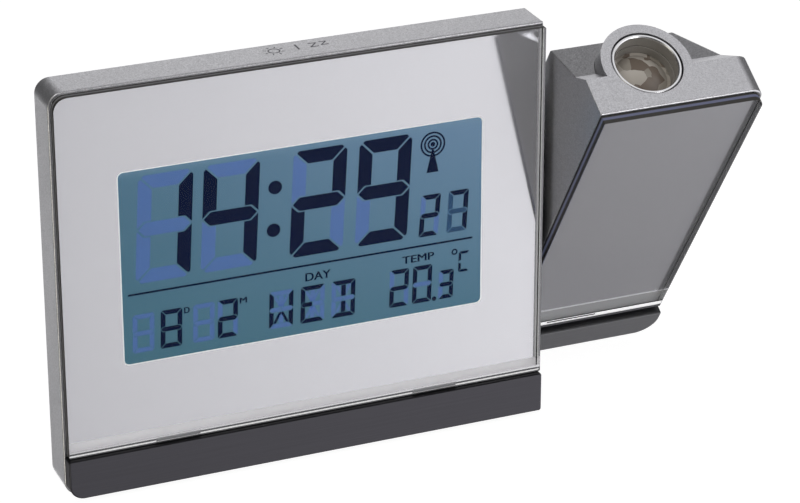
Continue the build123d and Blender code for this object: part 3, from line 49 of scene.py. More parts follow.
EYE = (-0.24795, -0.606406, 0.34098)
LOOK_DOWN = 23.274
LOOK_RIGHT = 22.657

camera = bpy.data.objects.new("camera", bpy.data.cameras.new("camera"))
bpy.context.scene.collection.objects.link(camera)
camera.location = EYE
camera.rotation_euler = (radians(90 - LOOK_DOWN), 0, radians(-LOOK_RIGHT))
camera.data.sensor_width = 36
camera.data.lens = 142.8
camera.data.shift_x = -0.00425
camera.data.shift_y = -0.0736
bpy.context.scene.camera = camera
bpy.context.scene.view_settings.view_transform = "Standard"


# ---------------------------------------------------------------- floor
# A pale sweep that runs on behind the clock. The eye sees it nearly white, with the clock's soft shadow.
# Metal and clear plastic look through it at the room's own light, which is worked out below the horizon too.

FLOOR_HALF = 3.0
FLOOR_POINTS = 13
FLOOR_GLOW, GLOW_SHARE = 1.25, 0.76

floor_grid = np.linspace(-FLOOR_HALF, FLOOR_HALF, FLOOR_POINTS)
floor_x, floor_y = np.meshgrid(floor_grid, floor_grid, indexing="xy")


def grid_faces(rows, columns, ring_rows=False, ring_columns=False):
    """Quads between neighbouring rows and columns of a grid of points, numbered row by row. A ring joins
    the last row or column to the first."""
    row = np.arange(rows if ring_rows else rows - 1)[:, None]
    column = np.arange(columns if ring_columns else columns - 1)[None, :]
    next_row, next_column = (row + 1) % rows, (column + 1) % columns
    corners = (row * columns + column, row * columns + next_column,
               next_row * columns + next_column, next_row * columns + column)
    return np.stack([np.broadcast_to(c, (row.size, column.size)) for c in corners], axis=-1).reshape(-1, 4)


def new_mesh(name, points, faces, material):
    """Mesh object at the origin, with its place in its points."""
    mesh = bpy.data.meshes.new(name)
    mesh.from_pydata(points.reshape(-1, 3).tolist(), [], [list(map(int, face)) for face in faces])
    mesh.materials.append(material)
    piece = bpy.data.objects.new(name, mesh)
    bpy.context.scene.collection.objects.link(piece)
    return piece


def feed(node, *values, **named):
    """Gives a node's inputs, in order or by name, their values or another node's outputs."""
    for label, value in [*enumerate(values), *named.items()]:
        socket = node.inputs[label.replace("_", " ") if isinstance(label, str) else label]
        if isinstance(value, bpy.types.NodeSocket):
            node.id_data.links.new(value, socket)
        else:
            socket.default_value = value


def add_node(tree, kind, *values, settings=None, **named):
    """Node of this kind, with its settings and its inputs."""
    node = tree.nodes.new("ShaderNode" + kind)
    for label, value in (settings or {}).items():
        setattr(node, label, value)
    feed(node, *values, **named)
    return node


def reckon(tree, operation, *values):
    """Result of this sum on plain numbers."""
    return add_node(tree, "Math", *values, settings={"operation": operation}).outputs["Value"]


def mapped(tree, value, low, high, **more):
    """The value, from nought to one unless said otherwise, spread from low to high."""
    return add_node(tree, "MapRange", Value=value, To_Min=low, To_Max=high, **more).outputs["Result"]


def own_place(tree):
    """Place on the piece, in metres of the shared frame."""
    return add_node(tree, "TexCoord").outputs["Object"]


def floor_material():
    """White paper that glows for the eye and is open to mirrored and bent rays."""
    made = bpy.data.materials.new("floor_sweep")
    made.use_nodes = True
    tree = made.node_tree
    tree.nodes.remove(tree.nodes["Principled BSDF"])
    grain = add_node(tree, "TexNoise", Vector=own_place(tree), Scale=9.0, Detail=3.0)
    paper = add_node(tree, "BsdfDiffuse", Color=mapped(tree, grain.outputs["Fac"], 0.79, 0.81))
    glow = add_node(tree, "Emission", Strength=FLOOR_GLOW)
    rays = add_node(tree, "LightPath").outputs
    share = reckon(tree, "MULTIPLY", rays["Is Camera Ray"], GLOW_SHARE)
    sweep = add_node(tree, "MixShader", share, paper.outputs["BSDF"], glow.outputs["Emission"])
    mirrored = reckon(tree, "MAXIMUM", rays["Is Glossy Ray"], rays["Is Transmission Ray"])
    open_below = add_node(tree, "BsdfTransparent")
    mix = add_node(tree, "MixShader", mirrored, sweep.outputs["Shader"], open_below.outputs["BSDF"])
    feed(tree.nodes["Material Output"], Surface=mix.outputs["Shader"])
    return made


floor_points = np.stack([floor_x, floor_y, np.zeros_like(floor_x)], axis=-1)
floor = new_mesh("floor", floor_points, grid_faces(FLOOR_POINTS, FLOOR_POINTS), floor_material())


# ---------------------------------------------------------------- housings
# The main clock and the head each have a front tray and a sloped rear shell, moulded in ABS and sprayed
# with satin silver paint that has fine metal flakes in it. Four long screws hold the main pair together.

MM = 0.001
FLAKE_SIZE, FLAKE_TILT, FLAKE_CONTRAST = 0.2, 0.1, 0.34
PAINT_ROUGHNESS = 0.31
SILVER = (0.55, 0.55, 0.57, 1)


def new_material(name, **values):
    """Material with one Principled shader, whose even values are set on its own sockets."""
    made = bpy.data.materials.new(name)
    made.use_nodes = True
    shader = made.node_tree.nodes["Principled BSDF"]
    for label, value in values.items():
        shader.inputs[label.replace("_", " ").title().replace("Ior", "IOR")].default_value = value
    return made, made.node_tree, shader


def new_effect(name, inputs, outputs):
    """Empty node group with these named inputs, as (name, kind, value), and outputs, as (name, kind). Gives
    the group, its inputs and the node that its results go to."""
    group = bpy.data.node_groups.new(name, "ShaderNodeTree")
    for label, kind, value in inputs:
        socket = group.interface.new_socket(label, in_out="INPUT", socket_type="NodeSocket" + kind)
        socket.default_value = value
    for label, kind in outputs:
        group.interface.new_socket(label, in_out="OUTPUT", socket_type="NodeSocket" + kind)
    return group, group.nodes.new("NodeGroupInput").outputs, group.nodes.new("NodeGroupOutput")


def add_effect(tree, group, **values):
    """Results of a node group placed in a material, with this material's own values."""
    node = tree.nodes.new("ShaderNodeGroup")
    node.node_tree = group
    feed(node, **values)
    return node.outputs


def reckon_vector(tree, operation, *values, **named):
    """Result of this sum on vectors or colours."""
    node = add_node(tree, "VectorMath", *values, settings={"operation": operation}, **named)
    return node.outputs["Vector"]


def toned(tree, colour, tone):
    """The colour, made darker or lighter by this factor."""
    return reckon_vector(tree, "SCALE", colour, Scale=tone)


def finish_nodes(material, *names):
    """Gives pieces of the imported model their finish."""
    for part in [frame["nodes"][name] for name in names]:
        for slot in part.material_slots:
            slot.material = material
        if not part.material_slots:
            part.data.materials.append(material)


def metal_flake():
    """Paint flakes: cells of one flake's size, each with its own brightness and a small tilt, over a broad
    uneven spray. The tilt is a random direction per cell, added to the surface's normal."""
    group, given, results = new_effect(
        "metal_flake",
        [("Colour", "Color", SILVER), ("Flake Size", "Float", FLAKE_SIZE), ("Tilt", "Float", FLAKE_TILT),
         ("Contrast", "Float", 0.2)],
        [("Colour", "Color"), ("Roughness Shift", "Float"), ("Normal", "Vector")])
    place = own_place(group)
    density = reckon(group, "DIVIDE", 1 / MM, given["Flake Size"])
    cells = add_node(group, "TexVoronoi", Vector=place, Scale=density).outputs["Color"]
    centred = reckon_vector(group, "SUBTRACT", cells, (0.5, 0.5, 0.5))
    lean = reckon_vector(group, "SCALE", centred, Scale=given["Tilt"])
    leant = reckon_vector(group, "ADD", add_node(group, "NewGeometry").outputs["Normal"], lean)
    spray = add_node(group, "TexNoise", Vector=place, Scale=55.0, Detail=2.0).outputs["Fac"]
    flake = mapped(group, add_node(group, "SeparateColor", Color=cells).outputs["Red"], -0.5, 0.5)
    shade = reckon(group, "MULTIPLY_ADD", flake, given["Contrast"], mapped(group, spray, 0.97, 1.03))
    feed(results, Colour=toned(group, given["Colour"], shade),
         Roughness_Shift=mapped(group, spray, -0.03, 0.03), Normal=reckon_vector(group, "NORMALIZE", leant))
    return group


flake_effect = metal_flake()


def silver_paint():
    """Satin silver paint, with the flakes in its colour and its normal."""
    made, tree, shader = new_material("silver_paint", metallic=0.9, coat_weight=0.2, coat_roughness=0.3)
    effect = add_effect(tree, flake_effect, Colour=SILVER, Flake_Size=FLAKE_SIZE, Tilt=FLAKE_TILT,
                        Contrast=FLAKE_CONTRAST)
    feed(shader, Base_Color=effect["Colour"], Normal=effect["Normal"],
         Roughness=reckon(tree, "ADD", effect["Roughness Shift"], PAINT_ROUGHNESS))
    return made


finish_nodes(silver_paint(), "main_front_housing", "main_rear_housing", "head_front_housing",
             "head_rear_housing", "battery_door")


# ---------------------------------------------------------------- lens plates
# A clear acrylic plate lies in the recess of each front. Its edge is ground matt, with painted shade in the
# gaps round it, a foil covers the bevel along its foot, and its back carries the print: mirror silver with
# an opening over the display.
# The foil's bands and the glow of several prints are painted light: reflection, highlight and glow that the
# clear plate catches.

PRINT_FRONT, PRINT_BACK = 0.245, 0.29
clock_corner, clock_far_corner = [np.array(corner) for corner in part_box("main_front_housing")]
clock_width, _, clock_height = (clock_far_corner - clock_corner) / MM
plate_low, plate_high = [(np.array(corner) - clock_corner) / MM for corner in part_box("main_lens_plate")]
PLATE_FRONT, PLATE_FOOT, PLATE_TOP = plate_low[1], plate_low[2], plate_high[2]
PLATE_CORNER = 3.05
PRINT_MARGIN = 0.15
MAIN_SHEET = (plate_low[0], plate_high[0], PLATE_FOOT, PLATE_TOP)
WINDOW = (14.8, 100.2, 29.7, 75.4)
WINDOW_CORNER = 1.2
EDGE_LINE = 0.32
RIM_LINE = 0.2
CORNER_POINTS = 9


def on_clock(points):
    """Millimetres from the main housing's left, front and under sides, as metres in the shared frame."""
    return np.asarray(points, float) * MM + clock_corner


def add_piece(name, shape, material, place, body):
    """Piece from its points in millimetres and its faces, put in its place and riding on a body."""
    points, faces = shape
    piece = new_mesh(name, place(points), faces, material)
    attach(piece, body)


def rounded_outline(left, right, foot, top, radii):
    """Outline in X and Z, anticlockwise from the lower left: straight sides with a quarter circle of its
    own radius at each corner, in the order lower left, lower right, upper right, upper left."""
    turn = np.linspace(0, pi / 2, CORNER_POINTS)
    centres = ((left + radii[0], foot + radii[0]), (right - radii[1], foot + radii[1]),
               (right - radii[2], top - radii[2]), (left + radii[3], top - radii[3]))
    arcs = []
    for i, (x, z) in enumerate(centres):
        angle = pi + i * pi / 2 + turn
        arcs.append(np.stack([x + radii[i] * np.cos(angle), z + radii[i] * np.sin(angle)], axis=-1))
    return np.concatenate(arcs)


def upright_slab(outline, front, back):
    """Flat piece with this outline in X and Z: one face at the depth front, one at back, and a wall."""
    count = len(outline)
    rows = [np.stack([outline[:, 0], np.full(count, y), outline[:, 1]], axis=-1) for y in (front, back)]
    wall = grid_faces(2, count, ring_columns=True)[:, ::-1]
    return np.concatenate(rows), [list(range(count)), list(range(2 * count - 1, count - 1, -1)), *wall]


def upright_band(outer, inner, front, back):
    """Flat ring between two outlines with as many points: a square profile carried round the outline."""
    rows = []
    for outline, y in ((outer, front), (outer, back), (inner, back), (inner, front)):
        rows.append(np.stack([outline[:, 0], np.full(len(outline), y), outline[:, 1]], axis=-1))
    return np.concatenate(rows), grid_faces(4, len(outer), ring_rows=True, ring_columns=True)[:, ::-1]


def joined(parts):
    """Several (points, faces) pairs as one."""
    points, faces, start = [], [], 0
    for some_points, some_faces in parts:
        points.append(some_points)
        faces += [[int(i) + start for i in face] for face in some_faces]
        start += len(some_points)
    return np.concatenate(points), faces


def clear_acrylic():
    """Clear plate, wiped a little uneven."""
    made, tree, shader = new_material("clear_acrylic", base_color=(0.985, 0.99, 0.985, 1), ior=1.12,
                                      transmission_weight=1.0)
    wiped = add_node(tree, "TexNoise", Vector=own_place(tree), Scale=30.0, Detail=3.0)
    feed(shader, Roughness=mapped(tree, wiped.outputs["Fac"], 0.0, 0.03))
    return made


def print_mottle():
    """Soft uneven tone of a printed layer: two noises, one broad and one fine, about one."""
    group, given, results = new_effect(
        "print_mottle", [("Colour", "Color", SILVER), ("Amount", "Float", 0.04)],
        [("Colour", "Color"), ("Mask", "Float")])
    noises = [add_node(group, "TexNoise", Vector=own_place(group), Scale=scale, Detail=detail)
              for scale, detail in ((45.0, 3.0), (900.0, 2.0))]
    broad, fine = [noise.outputs["Fac"] for noise in noises]
    centred = reckon(group, "SUBTRACT", reckon(group, "ADD", broad, fine), 1.0)
    tone = reckon(group, "MULTIPLY_ADD", centred, given["Amount"], 1.0)
    feed(results, Colour=toned(group, given["Colour"], tone), Mask=broad)
    return group


mottle_effect = print_mottle()


def printed(name, colour, metallic, roughness, amount=0.04, glow=0.0, painted_glow_colour=(1, 1, 1, 1)):
    """Print or foil. Its glow is painted light: it stands for the light that a clear edge gathers from the
    whole plate.
    """
    made, tree, shader = new_material(name, metallic=metallic, emission_color=painted_glow_colour,
                                      emission_strength=glow)
    effect = add_effect(tree, mottle_effect, Colour=colour, Amount=amount)
    feed(shader, Base_Color=effect["Colour"],
         Roughness=mapped(tree, effect["Mask"], roughness * 0.9, roughness * 1.1))
    return made


finish_nodes(clear_acrylic(), "main_lens_plate", "head_lens_plate")
mirror_print = printed("mirror_print", (0.70, 0.695, 0.73, 1), 0.78, 0.08, 0.025)
# Painted light: the matt strip's pale colour and glow stand against the shade that the foot foil casts on
# it.
matt_print_painted_glow = printed("matt_print_painted_glow", (0.60, 0.60, 0.62, 1), 0.0, 0.5, 0.05, glow=0.31,
                     painted_glow_colour=(0.99, 0.965, 1.0, 1))
# Painted light: the pale print round the plate's edge glows, to stand against the dark wall mirrored in the
# print.
pale_print_painted_glow = printed("pale_print_painted_glow", (0.70, 0.70, 0.73, 1), 0.0, 0.5, 0.05, glow=0.2)
dark_print = printed("dark_print", (0.03, 0.03, 0.035, 1), 0.0, 0.4)
# The white rim is print. Its glow is painted light, for the bright line of light at the window's edge.
white_print_painted_glow = printed("white_print_painted_glow", (0.82, 0.82, 0.82, 1), 0.0, 0.5, glow=0.32)
# Painted shade: the wall's inside skin and its dark front line and seam stand for the shade in the gaps
# round the plate.
painted_inner_shade = printed("painted_inner_shade", (0.07, 0.07, 0.08, 1), 0.0, 0.5, 0.1)
ground_edge = printed("ground_edge", (0.20, 0.195, 0.205, 1), 0.0, 0.5, 0.2)
painted_gap_shade = printed("painted_gap_shade", (0.035, 0.033, 0.03, 1), 0.0, 0.5, 0.2)
grey_print = printed("grey_print", (0.50, 0.50, 0.52, 1), 0.0, 0.5, 0.1)
# Painted light on the plates' feet: the grey line, the pale and glowing bands and the bright band stand for
# the bevel's reflection and highlight.
painted_reflection_line = printed("painted_reflection_line", (0.62, 0.62, 0.64, 1), 0.7, 0.15, 0.03)
painted_sheen_foil = printed("painted_sheen_foil", (0.68, 0.68, 0.70, 1), 0.75, 0.15, 0.03, glow=0.02)
painted_glow_foil = printed("painted_glow_foil", (0.70, 0.70, 0.72, 1), 0.3, 0.3, 0.04, glow=0.65)
painted_highlight_foil = printed("painted_highlight_foil", (0.88, 0.88, 0.89, 1), 0.3, 0.3, 0.04, glow=0.5)


def inset(edges, by):
    """Left, right, foot and top, each moved inwards."""
    return edges[0] + by, edges[1] - by, edges[2] + by, edges[3] - by


LINE_END, SEAM_START, EDGE_END = -1.1, -0.45, 0.2
INNER_SKIN, OUTER_SKIN = (0.002, 0.006), (0.008, 0.04)


def add_edge(name, sheet, radii, middle, place, body):
    """Matt skin round a plate's wall, lighter in the middle: painted shade on its inside and in dark lines
    at its front and back, for the gaps round the plate. Bands just outside its outline, with their front and
    back, near and far side, finish and label."""
    for front, back, skins, material, label in (
            (PLATE_FRONT, EDGE_END, INNER_SKIN, painted_inner_shade, "inside"),
            (PLATE_FRONT, LINE_END, OUTER_SKIN, painted_gap_shade, "front_line"),
            (LINE_END, SEAM_START, OUTER_SKIN, middle, "edge"),
            (SEAM_START, EDGE_END, OUTER_SKIN, painted_gap_shade, "seam")):
        inner, outer = [rounded_outline(*inset(sheet, -skin), radii) for skin in skins]
        add_piece(name + "_" + label, upright_band(outer, inner, front, back), material, place, body)


MAIN_RADII = (0.25, 0.25, 0.25, PLATE_CORNER)
WINDOW_RADII = (WINDOW_CORNER,) * 4
MATT_FOOT, STRIP_CORNER = 2.4, 0.1
left, right, foot, top = inset(MAIN_SHEET, PRINT_MARGIN)
mirror_sheet = (left, right, PLATE_FOOT + MATT_FOOT, top)
plate_edge = rounded_outline(*mirror_sheet, MAIN_RADII)
print_edge = rounded_outline(*inset(mirror_sheet, EDGE_LINE), MAIN_RADII)
rim_edge = rounded_outline(*inset(WINDOW, -RIM_LINE), WINDOW_RADII)
window_edge = rounded_outline(*WINDOW, WINDOW_RADII)


def add_main_print(name, outer, inner, material):
    """Part of the print between two outlines."""
    add_piece(name, upright_band(outer, inner, PRINT_FRONT, PRINT_BACK), material, on_clock, "root")


# The print's edge band is pale, with a painted glow.
add_main_print("main_print_edge", plate_edge, print_edge, pale_print_painted_glow)
add_main_print("main_print", print_edge, rim_edge, mirror_print)
# White rim round the opening, with a painted glow for the bright edge line.
add_main_print("window_rim", rim_edge, window_edge, white_print_painted_glow)
add_edge("main_plate", MAIN_SHEET, MAIN_RADII, ground_edge, on_clock, "root")


def add_matt_foot(name, edges, material, place, body):
    """Matt strip of the print behind the foot foil."""
    strip = upright_slab(rounded_outline(*edges, (STRIP_CORNER,) * 4), PRINT_FRONT, PRINT_BACK)
    add_piece(name, strip, material, place, body)


# The matt strip at the main plate's foot is lightened by a painted glow.
add_matt_foot("main_print_foot", (left, right, foot, PLATE_FOOT + MATT_FOOT), matt_print_painted_glow, on_clock, "root")

BEVEL_HEIGHT, BEVEL_DEPTH = 1.1, 0.55
FOIL, FOIL_GAP = 0.02, 0.003
FOIL_MARGIN, DASH_DROP = 0.1, 0.15


def foot_foil(left, right, top, foot, lift=0.0):
    """Foil along the plate's foot between two heights: it follows the front face, then the bevel. Each end
    of its profile is carried from left to right."""
    def surface(z, out):
        """Depth of the plate's surface at this height, moved outwards."""
        drop = max(0.0, PLATE_FOOT + BEVEL_HEIGHT - z)
        return PLATE_FRONT + BEVEL_DEPTH * drop / BEVEL_HEIGHT - out, z

    heights = [top] + [z for z in (PLATE_FOOT + BEVEL_HEIGHT,) if foot < z < top] + [foot]
    ring = [surface(z, lift + FOIL) for z in heights]
    ring += [surface(z, lift + FOIL_GAP) for z in reversed(heights)]
    points = np.array([(x, y, z) for x in (left, right) for y, z in ring])
    count = len(ring)
    wall = grid_faces(2, count, ring_columns=True)[:, ::-1]
    return points, [list(range(count)), list(range(2 * count - 1, count - 1, -1)), *wall]


def add_foot(name, sheet, heights, line_material, pale_material, dashes, dash_foot, dash_material, place,
             body):
    """Grey line, pale band with its dashes, and bright band, from the print down to the bar: a painted
    reflection of the bevel, with a painted highlight in the bright band. Their upper edges lie at the three
    heights."""
    left, right = sheet[0] + FOIL_MARGIN, sheet[1] - FOIL_MARGIN
    line, pale, bright = [PLATE_FOOT + height for height in heights]
    for label, top, foot, material in (("line", line, pale, line_material),
                                       ("pale", pale, bright, pale_material),
                                       ("bright", bright, PLATE_FOOT, painted_highlight_foil)):
        add_piece(name + "_foot_" + label, foot_foil(left, right, top, foot), material, place, body)
    strips = [foot_foil(*dash, pale - DASH_DROP, PLATE_FOOT + dash_foot, lift=FOIL) for dash in dashes]
    add_piece(name + "_foot_dashes", joined(strips), dash_material, place, body)


MAIN_FOOT_HEIGHTS = (1.6, 1.4, 0.5)
MAIN_DASHES, MAIN_DASH_FOOT = ((20.9, 31.3), (82.7, 93.5)), 0.1
# The main foot's bands are a painted reflection and highlight of the bevel.
add_foot("main", MAIN_SHEET, MAIN_FOOT_HEIGHTS, painted_reflection_line, painted_sheen_foil, MAIN_DASHES, MAIN_DASH_FOOT,
         grey_print, on_clock, "root")


# ---------------------------------------------------------------- head print
# The head's plate has the same print without an opening. Its edge next to the clock is a narrow dark
# blue line, and the foil along its foot has one dark dash.

HEAD_TILT = radians(33.3)
HEAD_LEFT = clock_width + 0.9
HEAD_SHEET = (HEAD_LEFT + 0.3, HEAD_LEFT + 39.8, PLATE_FOOT, PLATE_TOP)
HEAD_BAND = 1.3
HEAD_MATT_FOOT = 4.7
HEAD_RADII = (0.25, 0.25, PLATE_CORNER, 0.25)
HEAD_FOOT_HEIGHTS = (2.4, 2.3, 1.5)
HEAD_DASHES, HEAD_DASH_FOOT = ((125.0, 137.8),), 1.65

hinge = np.array(next(j for j in frame["joints"] if j["name"] == "head_tilt")["pos_m"])


def on_head(points):
    """Millimetres as on the clock, for the upright head, turned about the hinge's X axis by its tilt."""
    flat = on_clock(points) - hinge
    y = flat[..., 1] * cos(HEAD_TILT) - flat[..., 2] * sin(HEAD_TILT)
    z = flat[..., 1] * sin(HEAD_TILT) + flat[..., 2] * cos(HEAD_TILT)
    return np.stack([flat[..., 0], y, z], axis=-1) + hinge


# The navy band is print. Its blue glow is painted light.
navy_print = printed("navy_print", (0.07, 0.075, 0.13, 1), 0.0, 0.4, glow=0.1,
                     painted_glow_colour=(0.45, 0.5, 0.8, 1))
head_silver = printed("head_mirror_print", (0.70, 0.695, 0.735, 1), 0.8, 0.12, 0.03)
# Painted shade and light: the head's matt strip is a darker copy of the main one, for the shade on the
# tilted head, lifted by a small painted glow.
head_matt = printed("head_matt_print", (0.27, 0.27, 0.285, 1), 0.0, 0.5, 0.05, glow=0.08)


def add_head_print(name, edges, radii, material):
    """Part of the head's print with these corners."""
    add_piece(name, upright_slab(rounded_outline(*edges, radii), PRINT_FRONT, PRINT_BACK), material, on_head,
              "head")


BAND_RADII = (0.2,) * 4
HEAD_PRINT_RADII = (STRIP_CORNER, STRIP_CORNER, PLATE_CORNER, STRIP_CORNER)
left, right, foot, top = inset(HEAD_SHEET, PRINT_MARGIN)
add_head_print("head_print_band", (left, left + HEAD_BAND, foot, top), BAND_RADII, navy_print)
mirror_foot = PLATE_FOOT + HEAD_MATT_FOOT
add_head_print("head_print", (left + HEAD_BAND, right, mirror_foot, top), HEAD_PRINT_RADII, head_silver)
add_matt_foot("head_print_foot", (left + HEAD_BAND, right, foot, mirror_foot), head_matt, on_head, "head")
add_edge("head_plate", HEAD_SHEET, HEAD_RADII, navy_print, on_head, "head")
# The head's foot bands glow with painted light, as a painted reflection and highlight of the bevel.
add_foot("head", HEAD_SHEET, HEAD_FOOT_HEIGHTS, painted_glow_foil, painted_glow_foil, HEAD_DASHES, HEAD_DASH_FOOT,
         dark_print, on_head, "head")


# ---------------------------------------------------------------- base bars
# Each front stands on a bar of ABS with a foil in brushed gunmetal. It clips over the foot of the
# housing, proud of the lens plate, and the head's bar goes round the lower corner.

BAR_COLOUR = (0.078, 0.076, 0.087, 1)
# Painted light: the head's bar has the same foil as the main bar, made lighter for the light it catches.
HEAD_BAR_PAINTED_LIGHT_COLOUR = (0.27, 0.27, 0.285, 1)
LAP_PAINTED_SHADE = 0.22


def brushed_lines():
    """Brushing along X: noise stretched to long thin lines, as a tone about one and a height."""
    group, given, results = new_effect(
        "brushed_lines", [("Colour", "Color", BAR_COLOUR), ("Amount", "Float", 0.3)],
        [("Colour", "Color"), ("Height", "Float")])
    stretch = add_node(group, "Mapping", Vector=own_place(group), Scale=(40.0, 5200.0, 5200.0))
    lines = add_node(group, "TexNoise", Vector=stretch.outputs["Vector"], Scale=1.0, Detail=4.0,
                     Roughness=0.65).outputs["Fac"]
    spread = mapped(group, lines, -0.5, 0.5, From_Min=0.25, From_Max=0.75)
    tone = reckon(group, "MULTIPLY_ADD", spread, given["Amount"], 1.0)
    feed(results, Colour=toned(group, given["Colour"], tone), Height=lines)
    return group


brushed_effect = brushed_lines()


def dot_product(tree, *vectors):
    """Cosine between two directions, or the way along one of them."""
    return add_node(tree, "VectorMath", *vectors, settings={"operation": "DOT_PRODUCT"}).outputs["Value"]


def brushed_foil(name, colour, upward):
    """Brushed foil, with painted shade where the bar's lap looks upward: its colour is darkened there for
    the shade on the bar's top under the plate's foot.
    """
    made, tree, shader = new_material(name, metallic=0.85, roughness=0.46)
    effect = add_effect(tree, brushed_effect, Colour=colour, Amount=0.2)
    rise = dot_product(tree, add_node(tree, "TexCoord").outputs["Normal"], upward)
    # Painted shade: the colour is darkened where the surface looks upward.
    lap = mapped(tree, rise, 1.0, LAP_PAINTED_SHADE, From_Min=0.25, From_Max=0.6)
    bump = add_node(tree, "Bump", Strength=0.1, Distance=0.02 * MM, Height=effect["Height"])
    feed(shader, Base_Color=toned(tree, effect["Colour"], lap), Normal=bump.outputs["Normal"])
    return made


head_upward = (0, -sin(HEAD_TILT), cos(HEAD_TILT))
finish_nodes(brushed_foil("main_bar_foil", BAR_COLOUR, (0, 0, 1)), "main_base_bar")
finish_nodes(brushed_foil("head_bar_foil_painted_light", HEAD_BAR_PAINTED_LIGHT_COLOUR, head_upward), "head_base_bar")


# ---------------------------------------------------------------- display
# A liquid crystal display lights up teal blue from lamps on its right. Switched-on segments are nearly
# black, and the others show faintly as blue shapes because of the steep view.

GHOST_DEPTH = (0.455, 0.495)
MARK_DEPTH = (0.40, 0.45)
TOP_GLOW = 5.0


def mixed(tree, factor, first, second):
    """Mix of two colours."""
    return add_node(tree, "Mix", settings={"data_type": "RGBA"}, Factor=factor, A=first,
                    B=second).outputs["Result"]


def backlit_glass():
    """Glow of the display: teal at the lower left to a lighter blue at the upper right, and paler along
    the top, where the light guide's edge lies."""
    made, tree, shader = new_material("backlit_glass", roughness=0.35, emission_strength=0.87,
                                      specular_ior_level=0.1)
    low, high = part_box("display_glass")
    axes = add_node(tree, "SeparateXYZ", Vector=own_place(tree)).outputs
    across = mapped(tree, axes["X"], 0.0, 1.0, From_Min=low.x, From_Max=high.x)
    upward = mapped(tree, axes["Z"], 0.0, 1.0, From_Min=low.z, From_Max=high.z)
    foot = mixed(tree, across, (0.042, 0.130, 0.180, 1), (0.062, 0.155, 0.230, 1))
    head = mixed(tree, across, (0.068, 0.155, 0.235, 1), (0.140, 0.235, 0.365, 1))
    near_top = mapped(tree, axes["Z"], 0.0, 0.5, settings={"interpolation_type": "SMOOTHSTEP"},
                      From_Min=high.z - TOP_GLOW * MM, From_Max=high.z - TOP_GLOW * MM / 2)
    glow = mixed(tree, near_top, mixed(tree, upward, foot, head), (0.16, 0.27, 0.37, 1))
    feed(shader, Base_Color=(0.02, 0.03, 0.035, 1), Emission_Color=glow)
    return made


finish_nodes(backlit_glass(), "display_glass")


def facing(outline):
    """The outline, turned round if it runs clockwise, so that its face looks forward."""
    x, z = np.asarray(outline, float).T
    area = np.sum(x * np.roll(z, -1) - np.roll(x, -1) * z)
    return np.stack([x, z], axis=-1)[:: 1 if area > 0 else -1]


def seven_segments(width, height, thick, gap, corner):
    """The seven bars of a digit, mitred at 45 degrees: their names and outlines in a box at the origin. The
    outer corners are cut off over this length."""
    half, middle = thick / 2, height / 2
    more, less = (corner + gap) / 2, (corner - gap) / 2
    top = ((corner, height), (width - corner, height), (width - more, height - less),
           (width - gap - thick, height - thick), (gap + thick, height - thick), (more, height - less))
    centre = ((gap, middle), (half + gap, middle + half), (width - half - gap, middle + half),
              (width - gap, middle), (width - half - gap, middle - half), (half + gap, middle - half))
    side = ((0, height - corner), (less, height - more), (thick, height - thick - gap),
            (thick, middle + half + gap), (half, middle + half + gap), (0, middle + gap))

    def mirrored(points, across=False, down=False):
        return [(width - x if across else x, height - z if down else z) for x, z in points]

    return {"a": top, "b": mirrored(side, across=True), "c": mirrored(side, across=True, down=True),
            "d": mirrored(top, down=True), "e": mirrored(side, down=True), "f": side, "g": centre}


DIGITS = {"0": "abcdef", "1": "bc", "2": "abged", "3": "abgcd", "4": "fgbc", "5": "afgcd", "6": "afgedc",
          "7": "abc", "8": "abcdefg", "9": "abcdfg"}


def placed_segments(shapes, names, left, foot, height, slant):
    """Chosen bars, moved to their place and leant to the right by slant over the whole height."""
    parts = []
    for name in names:
        x, z = np.array(shapes[name], float).T
        parts.append(facing(np.stack([left + x + slant * z / height, foot + z], axis=-1)))
    return parts


BIG_FOOT, BIG_HEIGHT, BIG_THICK, BIG_GAP, BIG_SLANT, BIG_CORNER = 48.3, 25.3, 3.2, 0.3, 1.45, 1.3
BIG_DIGITS = (("1", 18.2, 12.6), ("4", 33.2, 13.0), ("2", 54.0, 12.7), ("9", 69.6, 12.6))
lit, fading, ghosts = [], [], []
for digit, left, width in BIG_DIGITS:
    shapes = seven_segments(width, BIG_HEIGHT, BIG_THICK, BIG_GAP, BIG_CORNER)
    lit += placed_segments(shapes, DIGITS[digit], left, BIG_FOOT, BIG_HEIGHT, BIG_SLANT)
    others = [name for name in "abcdefg" if name not in DIGITS[digit]]
    ghosts += placed_segments(shapes, others, left, BIG_FOOT, BIG_HEIGHT, BIG_SLANT)

SMALL_FOOT, SMALL_HEIGHT, SMALL_GAP, SMALL_CORNER = 31.75, 9.2, 0.13, 0.35
SECONDS_FOOT, SECONDS_HEIGHT = 48.0, 10.1
SMALL_DIGITS = (
    # digit, left, width, foot, height, bar, slant, bars that are on
    ("2", 85.1, 4.7, SECONDS_FOOT, SECONDS_HEIGHT, 1.15, 0.8, "abged"),
    ("8", 91.95, 4.9, SECONDS_FOOT, SECONDS_HEIGHT, 1.15, 0.6, "abc"),
    ("2", 77.9, 4.6, SMALL_FOOT, SMALL_HEIGHT, 1.05, 0.35, "abged"),
    ("0", 83.5, 4.7, SMALL_FOOT, SMALL_HEIGHT, 1.05, 0.35, "abcdef"),
    ("3", 90.0, 3.6, SMALL_FOOT, 7.1, 1.0, 0.25, "abgcd"),
    ("8", 23.45, 5.0, SMALL_FOOT, SMALL_HEIGHT, 1.1, 0.3, "abcdefg"),
    ("2", 36.8, 4.7, SMALL_FOOT, SMALL_HEIGHT, 1.1, 0.25, "abged"))
